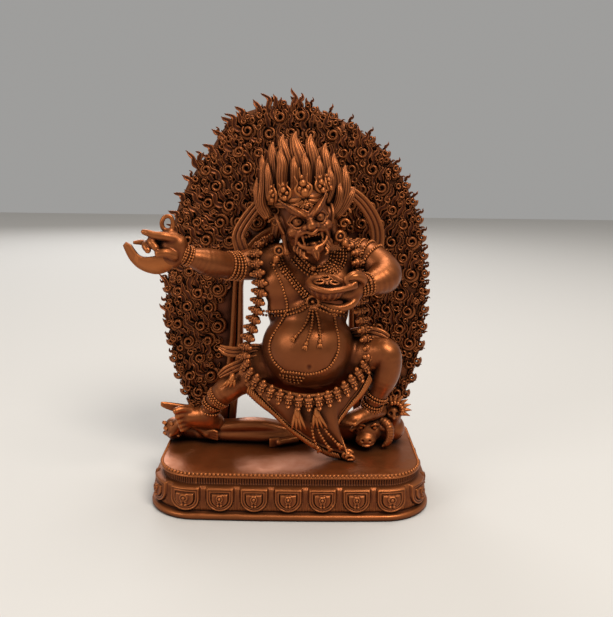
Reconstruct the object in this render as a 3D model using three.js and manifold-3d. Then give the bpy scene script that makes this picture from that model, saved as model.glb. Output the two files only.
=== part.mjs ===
// Cast statuette of a two-armed wrathful protector. He strides over two trampled figures in
// front of an arched halo of flames, on a plinth edged with lotus petals.
// Millimetres, +Z up. The origin is the middle of the plinth's underside. The figure faces -Y,
// and left and right in the names are the viewer's.
import * as THREE from 'three';
import { mergeVertices } from 'three/addons/utils/BufferGeometryUtils.js';
import Module from 'manifold-3d';

const wasm = await Module();
wasm.setup();

// Whole statue
const HEIGHT = 165;
const SEAT_GAP = 0.3; // between the plinth and each casting that stands on it

// Plinth
const PLINTH_WIDTH = 105.6; // at the top edge
const PLINTH_DEPTH = 56.6;
const PLINTH_HEIGHT = 18;
const FRONT_CORNER = 15;
const BACK_CORNER = 4;
const FRONT_BOW = 1.5; // how far the front edge bows out
const FOOT_SPREAD = 4.6; // how far the foot stands out past the top edge
const PETAL_COUNT = 23;
const PETAL_WIDTH = 10.8;
const PETAL_TOP = 12.9;
const PETAL_BOTTOM = 3.1;
const PETAL_OFFSET = 1.9; // of the petals' roots, out from the top edge
const PETAL_RISE = 1.7;

// Flame halo
const HALO_CENTRE = 1.5; // x of its middle line
const HALO_FRONT = 17.6;
const HALO_THICKNESS = 4.6;
const HALO_RIM = [ // half width and height above the plinth, between the flame tips
  [43, 0], [49, 16], [54, 31], [56.4, 50], [56.6, 70],
  [53.4, 94], [48.2, 108.5], [40.4, 121], [30, 133], [18, 140.6],
];
const HALO_TOP = 144.2; // of the rim between the flame tips, above the plinth
const HALO_LEAN = 5.5; // how far the top leans to the left
const HALO_LEAN_START = 124; // height above the plinth where it starts to lean
const HALO_OPENING = 23.5; // half width of the opening
const HALO_OPENING_FOOT = 27.5; // half width at the plinth
const HALO_OPENING_SPRING = 65; // height where its arch springs
const HALO_BAND = 7; // width of the plain stepped band round the opening
const RIM_TIPS = 17; // flame tips on each side
const RIM_TIP_RISE = 2.4;
const CURL_SIZE = 5; // radius of a flame curl

// Figure
const BELLY = { centre: [7, -2.5, 63], radii: [19.5, 17, 17] };
const BREASTS = [[-3.5, -6.2, 89.5], [15, -6.2, 91]];
const BREAST_RADII = [8.2, 5.6, 7.6];
const HEAD_CENTRE = [5, -8.5, 116];
const HEAD_TILT = THREE.MathUtils.degToRad(12);
const HEAD_TURN = THREE.MathUtils.degToRad(9);
const HAIR_CENTRE = [4, 124];
const HAIR_SPREAD = [19.5, 26]; // half width and height of the fan of hair
const GARLAND_PITCH = 6.6; // between the heads along the strand
const SEAT = PLINTH_HEIGHT + SEAT_GAP;
const BACK_LIMIT = 15.4; // the figure stays in front of this plane

const UP = new THREE.Vector3(0, 0, 1);
const FORWARD = new THREE.Vector3(0, -1, 0);

const bronze = (color, roughness) => new THREE.MeshStandardMaterial({ color, roughness, metalness: 0.85 });

// A closed geometry as a solid that can be joined and cut
function solid(geometry) {
  const bare = geometry.clone();
  bare.deleteAttribute('normal');
  bare.deleteAttribute('uv');
  const merged = mergeVertices(bare, 1e-4);
  return new wasm.Manifold(new wasm.Mesh({
    numProp: 3,
    vertProperties: Float32Array.from(merged.attributes.position.array),
    triVerts: Uint32Array.from(merged.index.array),
  }));
}

const join = (solids) => solids.reduce((whole, next) => whole.add(next));

function mesh(name, body, material) {
  const { vertProperties, triVerts } = body.getMesh();
  const geometry = new THREE.BufferGeometry();
  geometry.setAttribute('position', new THREE.BufferAttribute(vertProperties, 3));
  geometry.setIndex(new THREE.BufferAttribute(triVerts, 1));
  geometry.computeVertexNormals();
  const result = new THREE.Mesh(geometry, material);
  result.name = name;
  return result;
}

// Closed skin over a row of rings with the same number of corners.
// A ring of one point closes that end to a tip.
function skin(rings) {
  const points = rings.flat();
  const starts = rings.map((ring, i) => rings.slice(0, i).reduce((sum, r) => sum + r.length, 0));
  const faces = [];
  for (let i = 0; i + 1 < rings.length; i += 1) {
    const [a, b] = [starts[i], starts[i + 1]];
    const corners = Math.max(rings[i].length, rings[i + 1].length);
    for (let k = 0; k < corners; k += 1) {
      const next = (k + 1) % corners;
      if (rings[i + 1].length === 1) faces.push(a + k, a + next, b);
      else if (rings[i].length === 1) faces.push(a, b + next, b + k);
      else faces.push(a + k, a + next, b + next, a + k, b + next, b + k);
    }
  }
  const last = starts[rings.length - 1];
  for (let k = 1; k + 1 < rings[0].length; k += 1) faces.push(0, k + 1, k);
  for (let k = 1; k + 1 < rings[rings.length - 1].length; k += 1) faces.push(last, last + k, last + k + 1);
  let volume = 0;
  for (let f = 0; f < faces.length; f += 3) {
    const [p, q, r] = [points[faces[f]], points[faces[f + 1]], points[faces[f + 2]]];
    volume += p.dot(q.clone().cross(r));
  }
  if (volume < 0) faces.reverse();
  const geometry = new THREE.BufferGeometry().setFromPoints(points);
  geometry.setIndex(faces);
  return solid(geometry);
}

// Round or flat limb through stations of [x, y, z, half width, half depth].
// The depth is measured towards `up`, and a station without one is round.
function limb(stations, { sides = 8, rows = 2 * stations.length - 1, up = UP, blunt = 0.5, turn = 0 } = {}) {
  const curve = new THREE.CatmullRomCurve3(stations.map(([x, y, z]) => new THREE.Vector3(x, y, z)));
  const size = (t, part) => {
    const place = t * (stations.length - 1);
    const i = Math.min(Math.floor(place), stations.length - 2);
    const value = (station) => station[part] ?? station[3];
    return THREE.MathUtils.lerp(value(stations[i]), value(stations[i + 1]), place - i);
  };
  const rings = [];
  for (let row = 0; row < rows; row += 1) {
    const t = row / (rows - 1);
    const [centre, along] = [curve.getPoint(t), curve.getTangent(t)];
    const side = new THREE.Vector3().crossVectors(up, along).normalize();
    const lift = new THREE.Vector3().crossVectors(along, side);
    if (row === 0 && blunt) rings.push([centre.clone().addScaledVector(along, -blunt * size(0, 3))]);
    rings.push(Array.from({ length: sides }, (_, k) => {
      const angle = turn + (2 * Math.PI * k) / sides;
      return centre.clone().addScaledVector(side, Math.cos(angle) * size(t, 3))
        .addScaledVector(lift, Math.sin(angle) * size(t, 4));
    }));
    if (row === rows - 1 && blunt) rings.push([centre.clone().addScaledVector(along, blunt * size(1, 3))]);
  }
  return skin(rings);
}

// Flat band with four edges, of the given width and thickness, facing `up`
function band(points, width, thickness, up, rows) {
  const stations = points.map((p) => [...p, width / Math.SQRT2, thickness / Math.SQRT2]);
  return limb(stations, { sides: 4, turn: Math.PI / 4, up, blunt: 0, rows });
}

function ball(centre, radii, { around = 8, rings = 6, frame = new THREE.Matrix4() } = {}) {
  const geometry = new THREE.SphereGeometry(1, around, rings);
  geometry.scale(...(Array.isArray(radii) ? radii : [radii, radii, radii]));
  geometry.translate(...centre);
  return solid(geometry.applyMatrix4(frame));
}

function box(low, high) {
  const geometry = new THREE.BoxGeometry(...high.map((value, i) => value - low[i]));
  geometry.translate(...high.map((value, i) => (value + low[i]) / 2));
  return solid(geometry);
}

// Plinth

// Outline of the plinth's top edge, moved out by an offset, from the middle of the back edge round
function plinthOutline(offset) {
  const [halfWidth, halfDepth] = [PLINTH_WIDTH / 2, PLINTH_DEPTH / 2];
  const corners = [
    { x: -1, y: 1, radius: BACK_CORNER, steps: 2, from: 90 },
    { x: -1, y: -1, radius: FRONT_CORNER, steps: 4, from: 180 },
    { x: 1, y: -1, radius: FRONT_CORNER, steps: 4, from: 270 },
    { x: 1, y: 1, radius: BACK_CORNER, steps: 2, from: 0 },
  ];
  const points = [];
  for (const corner of corners) {
    for (let step = 0; step <= corner.steps; step += 1) {
      const angle = THREE.MathUtils.degToRad(corner.from + (90 * step) / corner.steps);
      points.push(new THREE.Vector2(
        corner.x * (halfWidth - corner.radius) + (corner.radius + offset) * Math.cos(angle),
        corner.y * (halfDepth - corner.radius) + (corner.radius + offset) * Math.sin(angle),
      ));
    }
    if (corner.from === 180) {
      for (const part of [-0.5, 0, 0.5]) points.push(new THREE.Vector2(part * halfWidth, -halfDepth - offset));
    }
  }
  for (const point of points) {
    if (point.y < 0) point.y -= FRONT_BOW * Math.max(0, 1 - (point.x / halfWidth) ** 2);
  }
  return points;
}

// One turned-down petal with a raised panel, standing out along `out` at a place on the outline
function petal(place, out) {
  const across = new THREE.Vector2(-out.y, out.x);
  const middle = PETAL_TOP - PETAL_WIDTH * 0.42;
  const ring = (scale, rise) => {
    const half = (PETAL_WIDTH / 2) * scale;
    const shape = [[-half, (PETAL_TOP - middle) * scale], [half, (PETAL_TOP - middle) * scale]];
    for (let step = 0; step <= 4; step += 1) {
      const angle = (Math.PI * step) / 4;
      shape.push([half * Math.cos(angle), -(middle - PETAL_BOTTOM) * scale * Math.sin(angle)]);
    }
    return shape.map(([u, v]) => new THREE.Vector3(
      place.x + across.x * u + out.x * rise, place.y + across.y * u + out.y * rise, middle + v));
  };
  return skin([ring(0.96, -2.4), ring(0.96, PETAL_RISE), ring(0.44, PETAL_RISE + 0.9)]);
}

function petalRow() {
  const outline = plinthOutline(PETAL_OFFSET);
  const curve = new THREE.CurvePath();
  outline.forEach((point, i) => curve.add(new THREE.LineCurve(point, outline[(i + 1) % outline.length])));
  const length = curve.getLength();
  const frontMiddle = outline.findIndex((point) => Math.abs(point.x) < 0.01 && point.y < 0);
  const start = curve.getCurveLengths()[frontMiddle - 1] / length;
  return Array.from({ length: PETAL_COUNT }, (_, i) => {
    const share = (start + i / PETAL_COUNT) % 1;
    const step = 0.4 / PETAL_COUNT;
    const [before, after] = [curve.getPointAt((share + 1 - step) % 1), curve.getPointAt((share + step) % 1)];
    const along = after.clone().sub(before).normalize();
    return petal(curve.getPointAt(share), new THREE.Vector2(along.y, -along.x));
  });
}

function lotusPlinth() {
  const profile = [
    [0, FOOT_SPREAD - 0.6], [1.2, FOOT_SPREAD], [2.3, FOOT_SPREAD], [3.1, PETAL_OFFSET],
    [PETAL_TOP, PETAL_OFFSET - 0.8], [PETAL_TOP + 0.6, -0.8], [15.8, -0.8], [16.4, 0.5], [PLINTH_HEIGHT, 0.1],
  ];
  const rings = profile.map(([z, offset]) => plinthOutline(offset).map((p) => new THREE.Vector3(p.x, p.y, z)));
  return join([skin(rings), ...petalRow()]);
}

// Flame halo

// Point of the smooth rim between the tips: share 0 is at the left foot, 1 at the right foot
const rimCurve = new THREE.CatmullRomCurve3([
  ...HALO_RIM.map(([x, z]) => new THREE.Vector3(-x, 0, z)),
  new THREE.Vector3(0, 0, HALO_TOP),
  ...HALO_RIM.map(([x, z]) => new THREE.Vector3(x, 0, z)).reverse(),
]);

function rimPoint(share) {
  const { x, z } = rimCurve.getPointAt(share);
  const lean = HALO_LEAN * THREE.MathUtils.smoothstep(z, HALO_LEAN_START, HALO_TOP);
  return new THREE.Vector2(HALO_CENTRE + x - lean, SEAT + z);
}

// Line round the opening, widened by a margin: share 0 is at the left foot, 1 at the right foot
function openingPoint(share, margin = 0) {
  const [half, foot] = [HALO_OPENING + margin, HALO_OPENING_FOOT + margin];
  const legs = 0.3;
  const spring = SEAT + HALO_OPENING_SPRING;
  if (share < legs || share > 1 - legs) {
    const up = Math.min(share, 1 - share) / legs;
    const x = THREE.MathUtils.lerp(foot, half, Math.min(1, up * 1.6));
    return new THREE.Vector2(HALO_CENTRE + Math.sign(share - 0.5) * x, SEAT + up * HALO_OPENING_SPRING);
  }
  const angle = (Math.PI * (share - legs)) / (1 - 2 * legs);
  return new THREE.Vector2(HALO_CENTRE - half * Math.cos(angle), spring + half * Math.sin(angle));
}

const openingLine = (margin, steps) =>
  Array.from({ length: steps + 1 }, (_, i) => openingPoint(i / steps, margin));

// Rim with a row of flame tips that lean towards the top
function rimLine() {
  const points = [];
  const tips = 2 * RIM_TIPS;
  for (let i = 0; i < tips; i += 1) {
    const left = i < RIM_TIPS;
    const shape = left ? [[0, -0.3], [0.8, 1]] : [[0.2, 1], [1, -0.3]];
    for (const [along, rise] of shape) {
      const share = Math.min(1, (i + along) / tips);
      const point = rimPoint(share);
      const ahead = rimPoint(Math.min(1, share + 0.004)).sub(rimPoint(Math.max(0, share - 0.004))).normalize();
      points.push(point.add(new THREE.Vector2(-ahead.y, ahead.x).multiplyScalar(rise * RIM_TIP_RISE)));
    }
  }
  return points;
}

function plate(outline, front, back) {
  const shape = new THREE.Shape(outline);
  const geometry = new THREE.ExtrudeGeometry(shape, { depth: back - front, bevelEnabled: false });
  geometry.rotateX(Math.PI / 2);
  geometry.translate(0, back, 0);
  return solid(geometry);
}

// Raised curl of flame: a strand that winds round once and sinks into the plate
function flameCurl(centre, angle, radius, turning) {
  const steps = 3;
  const stations = Array.from({ length: steps + 1 }, (_, i) => {
    const part = i / steps;
    const at = angle + turning * part * 1.3 * Math.PI;
    const reach = radius * (1 - 0.5 * part);
    const [x, z] = [centre.x + reach * Math.cos(at), centre.y + reach * Math.sin(at)];
    return [x, HALO_FRONT, z, 0.6 + 1.5 * part, 1.6 + 0.6 * part];
  });
  return limb(stations, { sides: 3, rows: steps + 1, up: FORWARD, blunt: 0, turn: Math.PI / 2 });
}

function flameCurls() {
  const curls = [];
  const rows = [{ depth: 0.2, count: 9 }, { depth: 0.54, count: 11 }, { depth: 0.88, count: 13 }];
  rows.forEach(({ depth, count }, row) => {
    for (let i = 0; i < count; i += 1) {
      const share = (i + (row % 2 ? 0.35 : 0.65)) / count;
      const inner = openingPoint(share, HALO_BAND + 1.5);
      const outer = rimPoint(share);
      const place = inner.lerp(outer, depth);
      const turning = share < 0.5 ? 1 : -1;
      const lean = Math.PI * (share < 0.5 ? -0.15 : 1.15) + 0.5 * Math.sin(7 * i + 3 * row);
      curls.push(flameCurl(place, lean, CURL_SIZE * (row === 1 ? 1.15 : 0.95), turning));
    }
  });
  return curls;
}

function flameHalo() {
  const [front, back] = [HALO_FRONT, HALO_FRONT + HALO_THICKNESS];
  const openingSteps = 16;
  const outline = [...rimLine(), ...openingLine(0, openingSteps).reverse()];
  const bandOutline = [
    ...openingLine(HALO_BAND, openingSteps), ...openingLine(HALO_BAND * 0.5, openingSteps).reverse(),
  ];
  return join([
    plate(outline, front, back),
    plate(bandOutline, front - 1.4, front + 1),
    ...flameCurls(),
  ]).subtract(box([-80, -60, 0], [80, 60, SEAT]));
}

// Figure: body

function trunk() {
  const core = limb([
    [6, 5, 44, 17, 9], [7, 4, 62, 18, 11.5], [6.5, 3, 80, 16.5, 11], [6, 1.5, 91, 17.5, 10.5],
    [6, 0, 99, 14.5, 8], [6, -2, 104, 7.5, 6.5], [6, -4, 109, 6.5, 6.5],
  ], { sides: 10, rows: 7, up: FORWARD });
  return [
    core,
    ball(BELLY.centre, BELLY.radii, { around: 12, rings: 8 }),
    ...BREASTS.map((centre) => ball(centre, BREAST_RADII, { around: 7, rings: 5 })),
  ];
}

// Figure: head. The face is built upright round its own centre and then tilted and turned.
const headFrame = new THREE.Matrix4().makeTranslation(...HEAD_CENTRE)
  .multiply(new THREE.Matrix4().makeRotationY(-HEAD_TILT))
  .multiply(new THREE.Matrix4().makeRotationZ(HEAD_TURN));

const onHead = (stations) => stations.map(([x, y, z, ...sizes]) =>
  [...new THREE.Vector3(x, y, z).applyMatrix4(headFrame).toArray(), ...sizes]);

const headBall = (centre, radii, options) => ball(centre, radii, { ...options, frame: headFrame });

function skull() {
  return [
    headBall([0, 0, 1.5], [9.6, 10.2, 12], { around: 9, rings: 6 }),
    headBall([0, -2.8, -8.2], [7.8, 7.6, 6.8], { around: 8, rings: 5 }),
    ...[-1, 1].map((side) => headBall([side * 5.6, -7, -3.4], [3, 2.8, 2.8], { around: 5, rings: 4 })),
  ];
}

function features() {
  const small = { around: 5, rings: 4 };
  const pair = [-1, 1];
  return [
    headBall([0, -11.6, -1.6], [2.4, 2.8, 3.2], small),
    headBall([0, -10.2, 5.4], [1.5, 1.2, 1.9], small),
    ...pair.map((side) => headBall([side * 4.3, -8.6, 0.6], [2.1, 2, 1.9], small)),
    ...pair.map((side) => limb(onHead([
      [side * 1.2, -11, 2.6, 1.1], [side * 4.4, -10, 4.6, 1.5], [side * 8.2, -6.4, 8.2, 0.8],
    ]), { sides: 4, rows: 3 })),
    limb(onHead([[-5.6, -8, -6.4, 0.9], [0, -11, -4.9, 1.1], [5.6, -8, -6.4, 0.9]]),
      { sides: 4, rows: 3, blunt: 0 }),
    limb(onHead([[-5.6, -7.8, -6.8, 0.9], [0, -10.6, -12, 1.1], [5.6, -7.8, -6.8, 0.9]]),
      { sides: 4, rows: 4, up: FORWARD, blunt: 0 }),
    limb(onHead([[0, -9.2, -12.6, 2.4], [0, -9.6, -16.4, 0.3]]),
      { sides: 5, rows: 2, up: FORWARD, blunt: 0 }),
  ];
}

function ears() {
  return [-1, 1].flatMap((side) => [
    headBall([side * 10.2, -1, -0.5], [1.9, 2.8, 5], { around: 5, rings: 4 }),
    limb(onHead([[side * 9, -2.5, -5, 2.3], [side * 12.4, -4, -7.4, 2.2]]), { sides: 5, rows: 2, blunt: 0 }),
  ]);
}

// Fan of flame-like locks, upright between a front and a back face that are ridged lock by lock
function hairFan(locks, front, back) {
  const [x, z] = HAIR_CENTRE;
  const ring = (tip, valley, y) => Array.from({ length: 2 * locks + 6 }, (_, i) => {
    const below = i > 2 * locks;
    const angle = below
      ? THREE.MathUtils.degToRad(190 + (160 * (i - 2 * locks)) / 6)
      : THREE.MathUtils.degToRad(175 - (170 * i) / (2 * locks));
    const reach = below ? valley * 0.8 : (i % 2 ? tip : valley);
    const lean = i % 2 && !below ? -1.2 * tip : 0;
    return new THREE.Vector3(
      x + HAIR_SPREAD[0] * reach * Math.cos(angle) + lean,
      y,
      z + HAIR_SPREAD[1] * reach * Math.sin(angle) * (below ? 0.75 : 1));
  });
  const turned = (points) => [...points.slice(0, 2 * locks + 1), ...points.slice(2 * locks + 1).reverse()];
  const middle = (back + front) / 2;
  return skin([
    turned(ring(0.78, 0.6, back)), turned(ring(1, 0.86, middle)), turned(ring(0.78, 0.6, front)),
  ]);
}

function hair() {
  return [
    hairFan(10, -9.6, 7.4),
    ball([5.4, 1, 115], [10.6, 7, 12], { around: 7, rings: 5 }),
  ];
}

// Five jewelled plates stand over the brow, the middle one tallest
function crown() {
  return [-66, -33, 0, 33, 66].map((degrees) => {
    const angle = THREE.MathUtils.degToRad(degrees);
    const [x, y] = [Math.sin(angle), -Math.cos(angle)];
    const top = degrees === 0 ? 23 : 17.5;
    return limb(onHead([[x * 7, y * 7, 6.5, 2.6], [x * 10.4, y * 10.4, 12, 2.9], [x * 9.4, y * 9.4, top, 0.3]]),
      { sides: 4, rows: 3, up: FORWARD, blunt: 0 });
  });
}

function head() {
  const mouth = headBall([0, -11, -8.4], [4.3, 4, 3.1], { around: 6, rings: 4 });
  return [join([...skull(), ...features()]).subtract(mouth), ...ears(), ...crown(), ...hair()];
}

// Figure: arms and what they hold

function fingers(list) {
  return list.map((stations) => limb(stations, { sides: 4, rows: stations.length, blunt: 0 }));
}

// Outstretched arm on the left, with its fist round a curved flaying knife
function knifeArm() {
  const arm = limb([
    [-6, 2, 98, 7.5], [-14, 0, 98, 6.8], [-22, -4.5, 97.2, 5.4],
    [-31, -11.5, 99, 5.1], [-39.6, -18, 102.3, 3.6], [-44, -20, 104.6, 4],
  ], { sides: 8, rows: 6 });
  const fist = [
    ball([-47.4, -21, 106.2], [4.6, 4, 5.4], { around: 6, rings: 5 }),
    ...fingers([
      [[-46, -23.5, 110.4, 1.7], [-50.5, -24.5, 111.8, 1.5], [-56.6, -23.5, 112.4, 1.2]],
      [[-49, -19, 108.6, 1.7], [-53.6, -21, 108.6, 1.8], [-52.4, -24.4, 107.4, 1.6]],
      [[-49, -19, 105.4, 1.7], [-53.4, -21, 105.4, 1.8], [-52.2, -24.4, 104.4, 1.6]],
      [[-50, -19, 106, 1.4], [-55.4, -20.4, 106.8, 1.3], [-59.8, -21, 107.8, 0.7]],
    ]),
  ];
  const loop = new THREE.TorusGeometry(2, 0.85, 3, 7);
  loop.scale(1, 1.5, 1);
  loop.rotateX(Math.PI / 2);
  loop.translate(-48, -20.5, 114.2);
  return [arm, ...fist, solid(loop), knife()];
}

function knife() {
  const blade = new THREE.Shape();
  blade.moveTo(-63.8, 108.2);
  blade.bezierCurveTo(-62.5, 100.5, -57.5, 95.8, -51, 95.8);
  blade.quadraticCurveTo(-46.5, 96.4, -44.6, 99.8);
  blade.lineTo(-46.4, 104.6);
  blade.lineTo(-54.2, 102.8);
  blade.bezierCurveTo(-58, 101.6, -59.6, 104.4, -61.4, 107.8);
  const front = -24;
  const geometry = new THREE.ExtrudeGeometry(blade, { depth: 2, bevelEnabled: false, curveSegments: 4 });
  geometry.rotateX(Math.PI / 2);
  geometry.translate(0, front + 2, 0);
  return solid(geometry);
}

// Bent arm on the right, with its palm under a skull cup
function cupArm() {
  return [
    limb([
      [18, 2, 99, 7.5], [26, 0, 100.5, 7], [32.4, -3, 100, 6.4], [37.6, -8, 95.4, 6.8],
      [34.6, -14, 92.8, 5.6], [28.6, -18.2, 92.4, 3.5], [24, -20.4, 91.2, 4],
    ], { sides: 8, rows: 7 }),
    ball([19.5, -20.6, 88.6], [6.4, 3.2, 3.6], { around: 6, rings: 4 }),
    ...fingers([
      [[24, -19.5, 91, 2], [20, -24, 86.2, 1.8], [12.4, -24.2, 84.8, 1.2]],
      [[22, -18, 88, 2], [17, -21.6, 84.4, 1.7], [9.6, -21, 84.2, 1.1]],
      [[26, -20.4, 93.4, 1.9], [24, -25.2, 95.4, 1.8], [19, -27, 95.2, 1.3]],
    ]),
    skullCup(),
  ];
}

// Oval bowl, full to a low mound between its rim and its middle
function skullCup() {
  const [rim, depth, mound] = [7.2, 6.6, 1.4];
  const profile = [
    [0, -depth], [rim * 0.62, -depth * 0.8], [rim * 0.95, -depth * 0.3], [rim, 0], [rim * 0.8, -0.4], [0, mound],
  ];
  const geometry = new THREE.LatheGeometry(profile.map((p) => new THREE.Vector2(...p)), 9);
  geometry.rotateX(Math.PI / 2);
  geometry.scale(1.1, 0.85, 1);
  geometry.translate(13.6, -24.4, 94.4);
  return solid(geometry);
}

// Figure: legs

// Leg on the left, stretched out to the side, with the foot on the trampled man
function straightLeg() {
  return [
    limb([
      [2, 4, 51, 12], [-10, 3, 52, 10], [-19, 1.5, 48.5, 7.4],
      [-27, 0.5, 43.5, 5], [-33.5, 1.5, 37.5, 3.8], [-35, 3.4, 31, 3.8],
    ], { sides: 8, rows: 6 }),
    limb([
      [-31.6, 5.6, 28.2, 3.6, 3], [-36.4, 2.6, 30.6, 4.6, 4], [-42, -0.6, 31.6, 3.2, 4.6], [-45.4, -2.2, 31.2, 2.2, 4],
    ], { sides: 6, rows: 4 }),
    ...[0, 1, 2, 3].map((i) => {
      const centre = [-46.8 + 0.5 * i, -4.2 + 0.5 * i, 34.6 - 2.3 * i];
      return ball(centre, 1.6 - 0.12 * i, { around: 5, rings: 3 });
    }),
  ];
}

// Leg on the right, bent sharply at the knee, with the foot on the trampled bull
function bentLeg() {
  return [
    limb([
      [12, 4, 51, 12], [24, 1, 56, 9.6], [33, -4.5, 61.5, 7.8], [38.6, -8.5, 61.8, 6.2],
      [39, -7.2, 54, 5.4], [35.5, -4.2, 44.5, 4.3], [33.6, -2, 37, 4],
    ], { sides: 8, rows: 7, up: FORWARD }),
    limb([
      [37.4, 1.5, 34, 3.4, 3], [33, -2, 34.8, 4, 3.6], [28, -6, 34, 4, 2.8], [24.2, -8.6, 33, 3.4, 2],
    ], { sides: 6, rows: 4 }),
    ...[0, 1, 2, 3].map((i) => ball([22.6 + 1.9 * i, -9.6 - 0.7 * i, 32.4], 1.4, { around: 5, rings: 3 })),
  ];
}

// Figure: dress

// Tiger-skin apron: a draped sheet between its waist line and its pointed hem
function apron() {
  const waist = new THREE.CatmullRomCurve3([
    [-16, -3, 51], [-9, -11, 49], [1, -15.5, 47], [12, -16, 47], [23, -12, 50], [31, -5, 56],
  ].map((p) => new THREE.Vector3(...p)));
  const hem = [
    [-19.4, -6, 47.6], [-13, -9.4, 41.6], [-6.6, -11, 36.2], [0.4, -12.2, 30], [7, -13, 25.2],
    [14.4, -13.4, 21.2], [20.4, -13.8, 19.2], [24, -14, 18.8], [21.6, -13.6, 25.4],
    [19, -12.6, 32], [23, -11.2, 38.4], [29, -10, 45.6], [33.6, -8.6, 54],
  ].map((p) => new THREE.Vector3(...p));
  const folds = 2;
  const front = hem.map((low, i) => {
    const high = waist.getPoint(i / (hem.length - 1));
    return Array.from({ length: folds + 1 }, (_, row) => {
      const point = high.clone().lerp(low, row / folds);
      point.y -= 1.6 * Math.sin((Math.PI * row) / folds) + 0.5 * (i % 2);
      return point;
    });
  });
  const thickness = 3.2;
  const rings = front.map((column) => [
    ...column, ...column.map((p) => p.clone().add(new THREE.Vector3(0, thickness, 0))).reverse(),
  ]);
  const curl = ball([23.4, -14.6, 20.4], [2.3, 2.3, 2.2], { around: 6, rings: 4 });
  const lining = limb([[6, 3, 46, 16, 9], [9, -3, 38, 11, 7], [14, -7, 30, 7, 5], [19, -9.4, 23, 4, 3.4]],
    { sides: 7, rows: 4, up: FORWARD });
  return [skin(rings), curl, lining, ...apronPaws()];
}

// Two clawed paws of the tiger skin hang in front, and one more on the straight leg
function apronPaws() {
  const paw = (x, y, z, spread, drop) => {
    const outline = new THREE.Shape([new THREE.Vector2(x - 1.4, z), new THREE.Vector2(x + 1.4, z)]);
    [1.5, 0.5, -0.5, -1.5].forEach((toe, i) => {
      if (i) outline.lineTo(x + (toe + 0.5) * spread, z - drop * 0.6);
      outline.lineTo(x + toe * spread, z - drop);
    });
    const geometry = new THREE.ExtrudeGeometry(outline, { depth: 2.6, bevelEnabled: false });
    geometry.rotateX(Math.PI / 2);
    geometry.translate(0, y + 2.6, 0);
    return solid(geometry);
  };
  return [paw(1.6, -16.4, 42.4, 1.6, 8.4), paw(9.8, -16.8, 42.8, 1.6, 7.6), paw(-25.5, -5.6, 51.6, 1.6, 5.4)];
}

// Long scarf that stands out in a loop behind each shoulder and falls behind the arms
function scarf() {
  const width = 5.2;
  const thickness = 1.8;
  return [
    band([
      [-4, 6, 124], [-12.6, 7.4, 122.6], [-19.4, 7.6, 114.4], [-22.8, 7, 105.6],
      [-20, 5.6, 98], [-15.6, 3, 91], [-8, 1, 86],
    ], width, thickness, FORWARD, 8),
    band([
      [12, 6, 127], [20.6, 7.4, 128.6], [29.4, 7.6, 122], [35, 7, 113.4],
      [35.4, 6, 106], [31.4, 4, 98], [22, 1, 92],
    ], width, thickness, FORWARD, 8),
    limb([[20, -2, 68, 3.4, 2.4], [30.6, -9, 70.4, 5, 2.8], [38, -9.6, 69.4, 5.6, 2.8]], { sides: 5, rows: 3 }),
    limb([[-12, 0, 60, 5, 4], [-22, -1.6, 58.6, 5.6, 3.6], [-29.6, -1, 61, 3, 2.4]], { sides: 5, rows: 3 }),
  ];
}

// Garland of cut heads: over both shoulders, down the sides and in a loop below the belly
const garlandCurve = new THREE.CatmullRomCurve3([
  [-8, 3, 107], [-13.6, -5.4, 105.4], [-14, -8.6, 98], [-12.4, -8.6, 90.6], [-13.4, -7.4, 82.6],
  [-15.4, -6.4, 74], [-18, -6.4, 65], [-18.8, -7.6, 58.6], [-16.4, -10.4, 53], [-8.4, -15.4, 47.6],
  [3, -18, 44.4], [12, -18, 44.9], [20.4, -16, 48.4], [27.6, -12.4, 54.8], [31.4, -10.6, 62],
  [29.6, -8, 70], [27.4, -7, 80], [26.8, -7.6, 90], [26.4, -9, 98], [25, -6.4, 105], [18, 2, 108.6],
].map((p) => new THREE.Vector3(...p)));

function garland() {
  const heads = Math.round(garlandCurve.getLength() / GARLAND_PITCH);
  const rings = Array.from({ length: 2 * heads + 1 }, (_, row) => {
    const share = row / (2 * heads);
    const [centre, along] = [garlandCurve.getPointAt(share), garlandCurve.getTangentAt(share)];
    const side = new THREE.Vector3().crossVectors(FORWARD, along).normalize();
    const lift = new THREE.Vector3().crossVectors(along, side);
    const size = row % 2 ? 3 : 1.4;
    return [45, 135, 225, 315].map((degrees) => {
      const angle = THREE.MathUtils.degToRad(degrees);
      return centre.clone().addScaledVector(side, size * 1.15 * Math.cos(angle))
        .addScaledVector(lift, size * Math.sin(angle));
    });
  });
  return [skin(rings)];
}

// Figure: trampled beings

// Man lying on his front under the straight leg, head to the left
function trampledMan() {
  return [
    limb([
      [-52, 10, 22.4, 4.2, 4.6], [-42, 10, 22.6, 5, 4.6], [-28, 9, 22.4, 5, 4.2], [-12, 8, 22.2, 5, 4], [6, 6, 22.4, 5, 4],
    ], { sides: 6, rows: 4 }),
    ball([-51.4, 6.4, 23.4], [4.4, 4.2, 4.6], { around: 6, rings: 5 }),
    limb([
      [-47.6, 5.4, 25.4, 2.2], [-40, 5.8, 20.4, 2.4], [-28, 5, 21, 2.9], [-12, 3.6, 21, 3.2], [0, 3, 21, 3.2],
    ], { sides: 5, rows: 4 }),
    limb([[2, 2, 20.4, 2.4], [-3, -0.6, 19.6, 1.7], [-8.6, -1.4, 19.4, 1.2]], { sides: 5, rows: 3 }),
    ...fingers([
      [[-44, 4, 32, 1.6], [-50, 1.4, 34.6, 1.6], [-55.6, 0.6, 36.6, 0.9]],
      [[-45, 5, 30.4, 1.6], [-50, 2.6, 33, 1.4], [-54, 1.8, 34.2, 0.9]],
    ]),
    limb([[-46, 9, 24, 3], [-46.4, 5.6, 29.4, 2.4], [-46, 3.4, 33, 2]], { sides: 5, rows: 3, up: FORWARD }),
  ];
}

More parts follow.
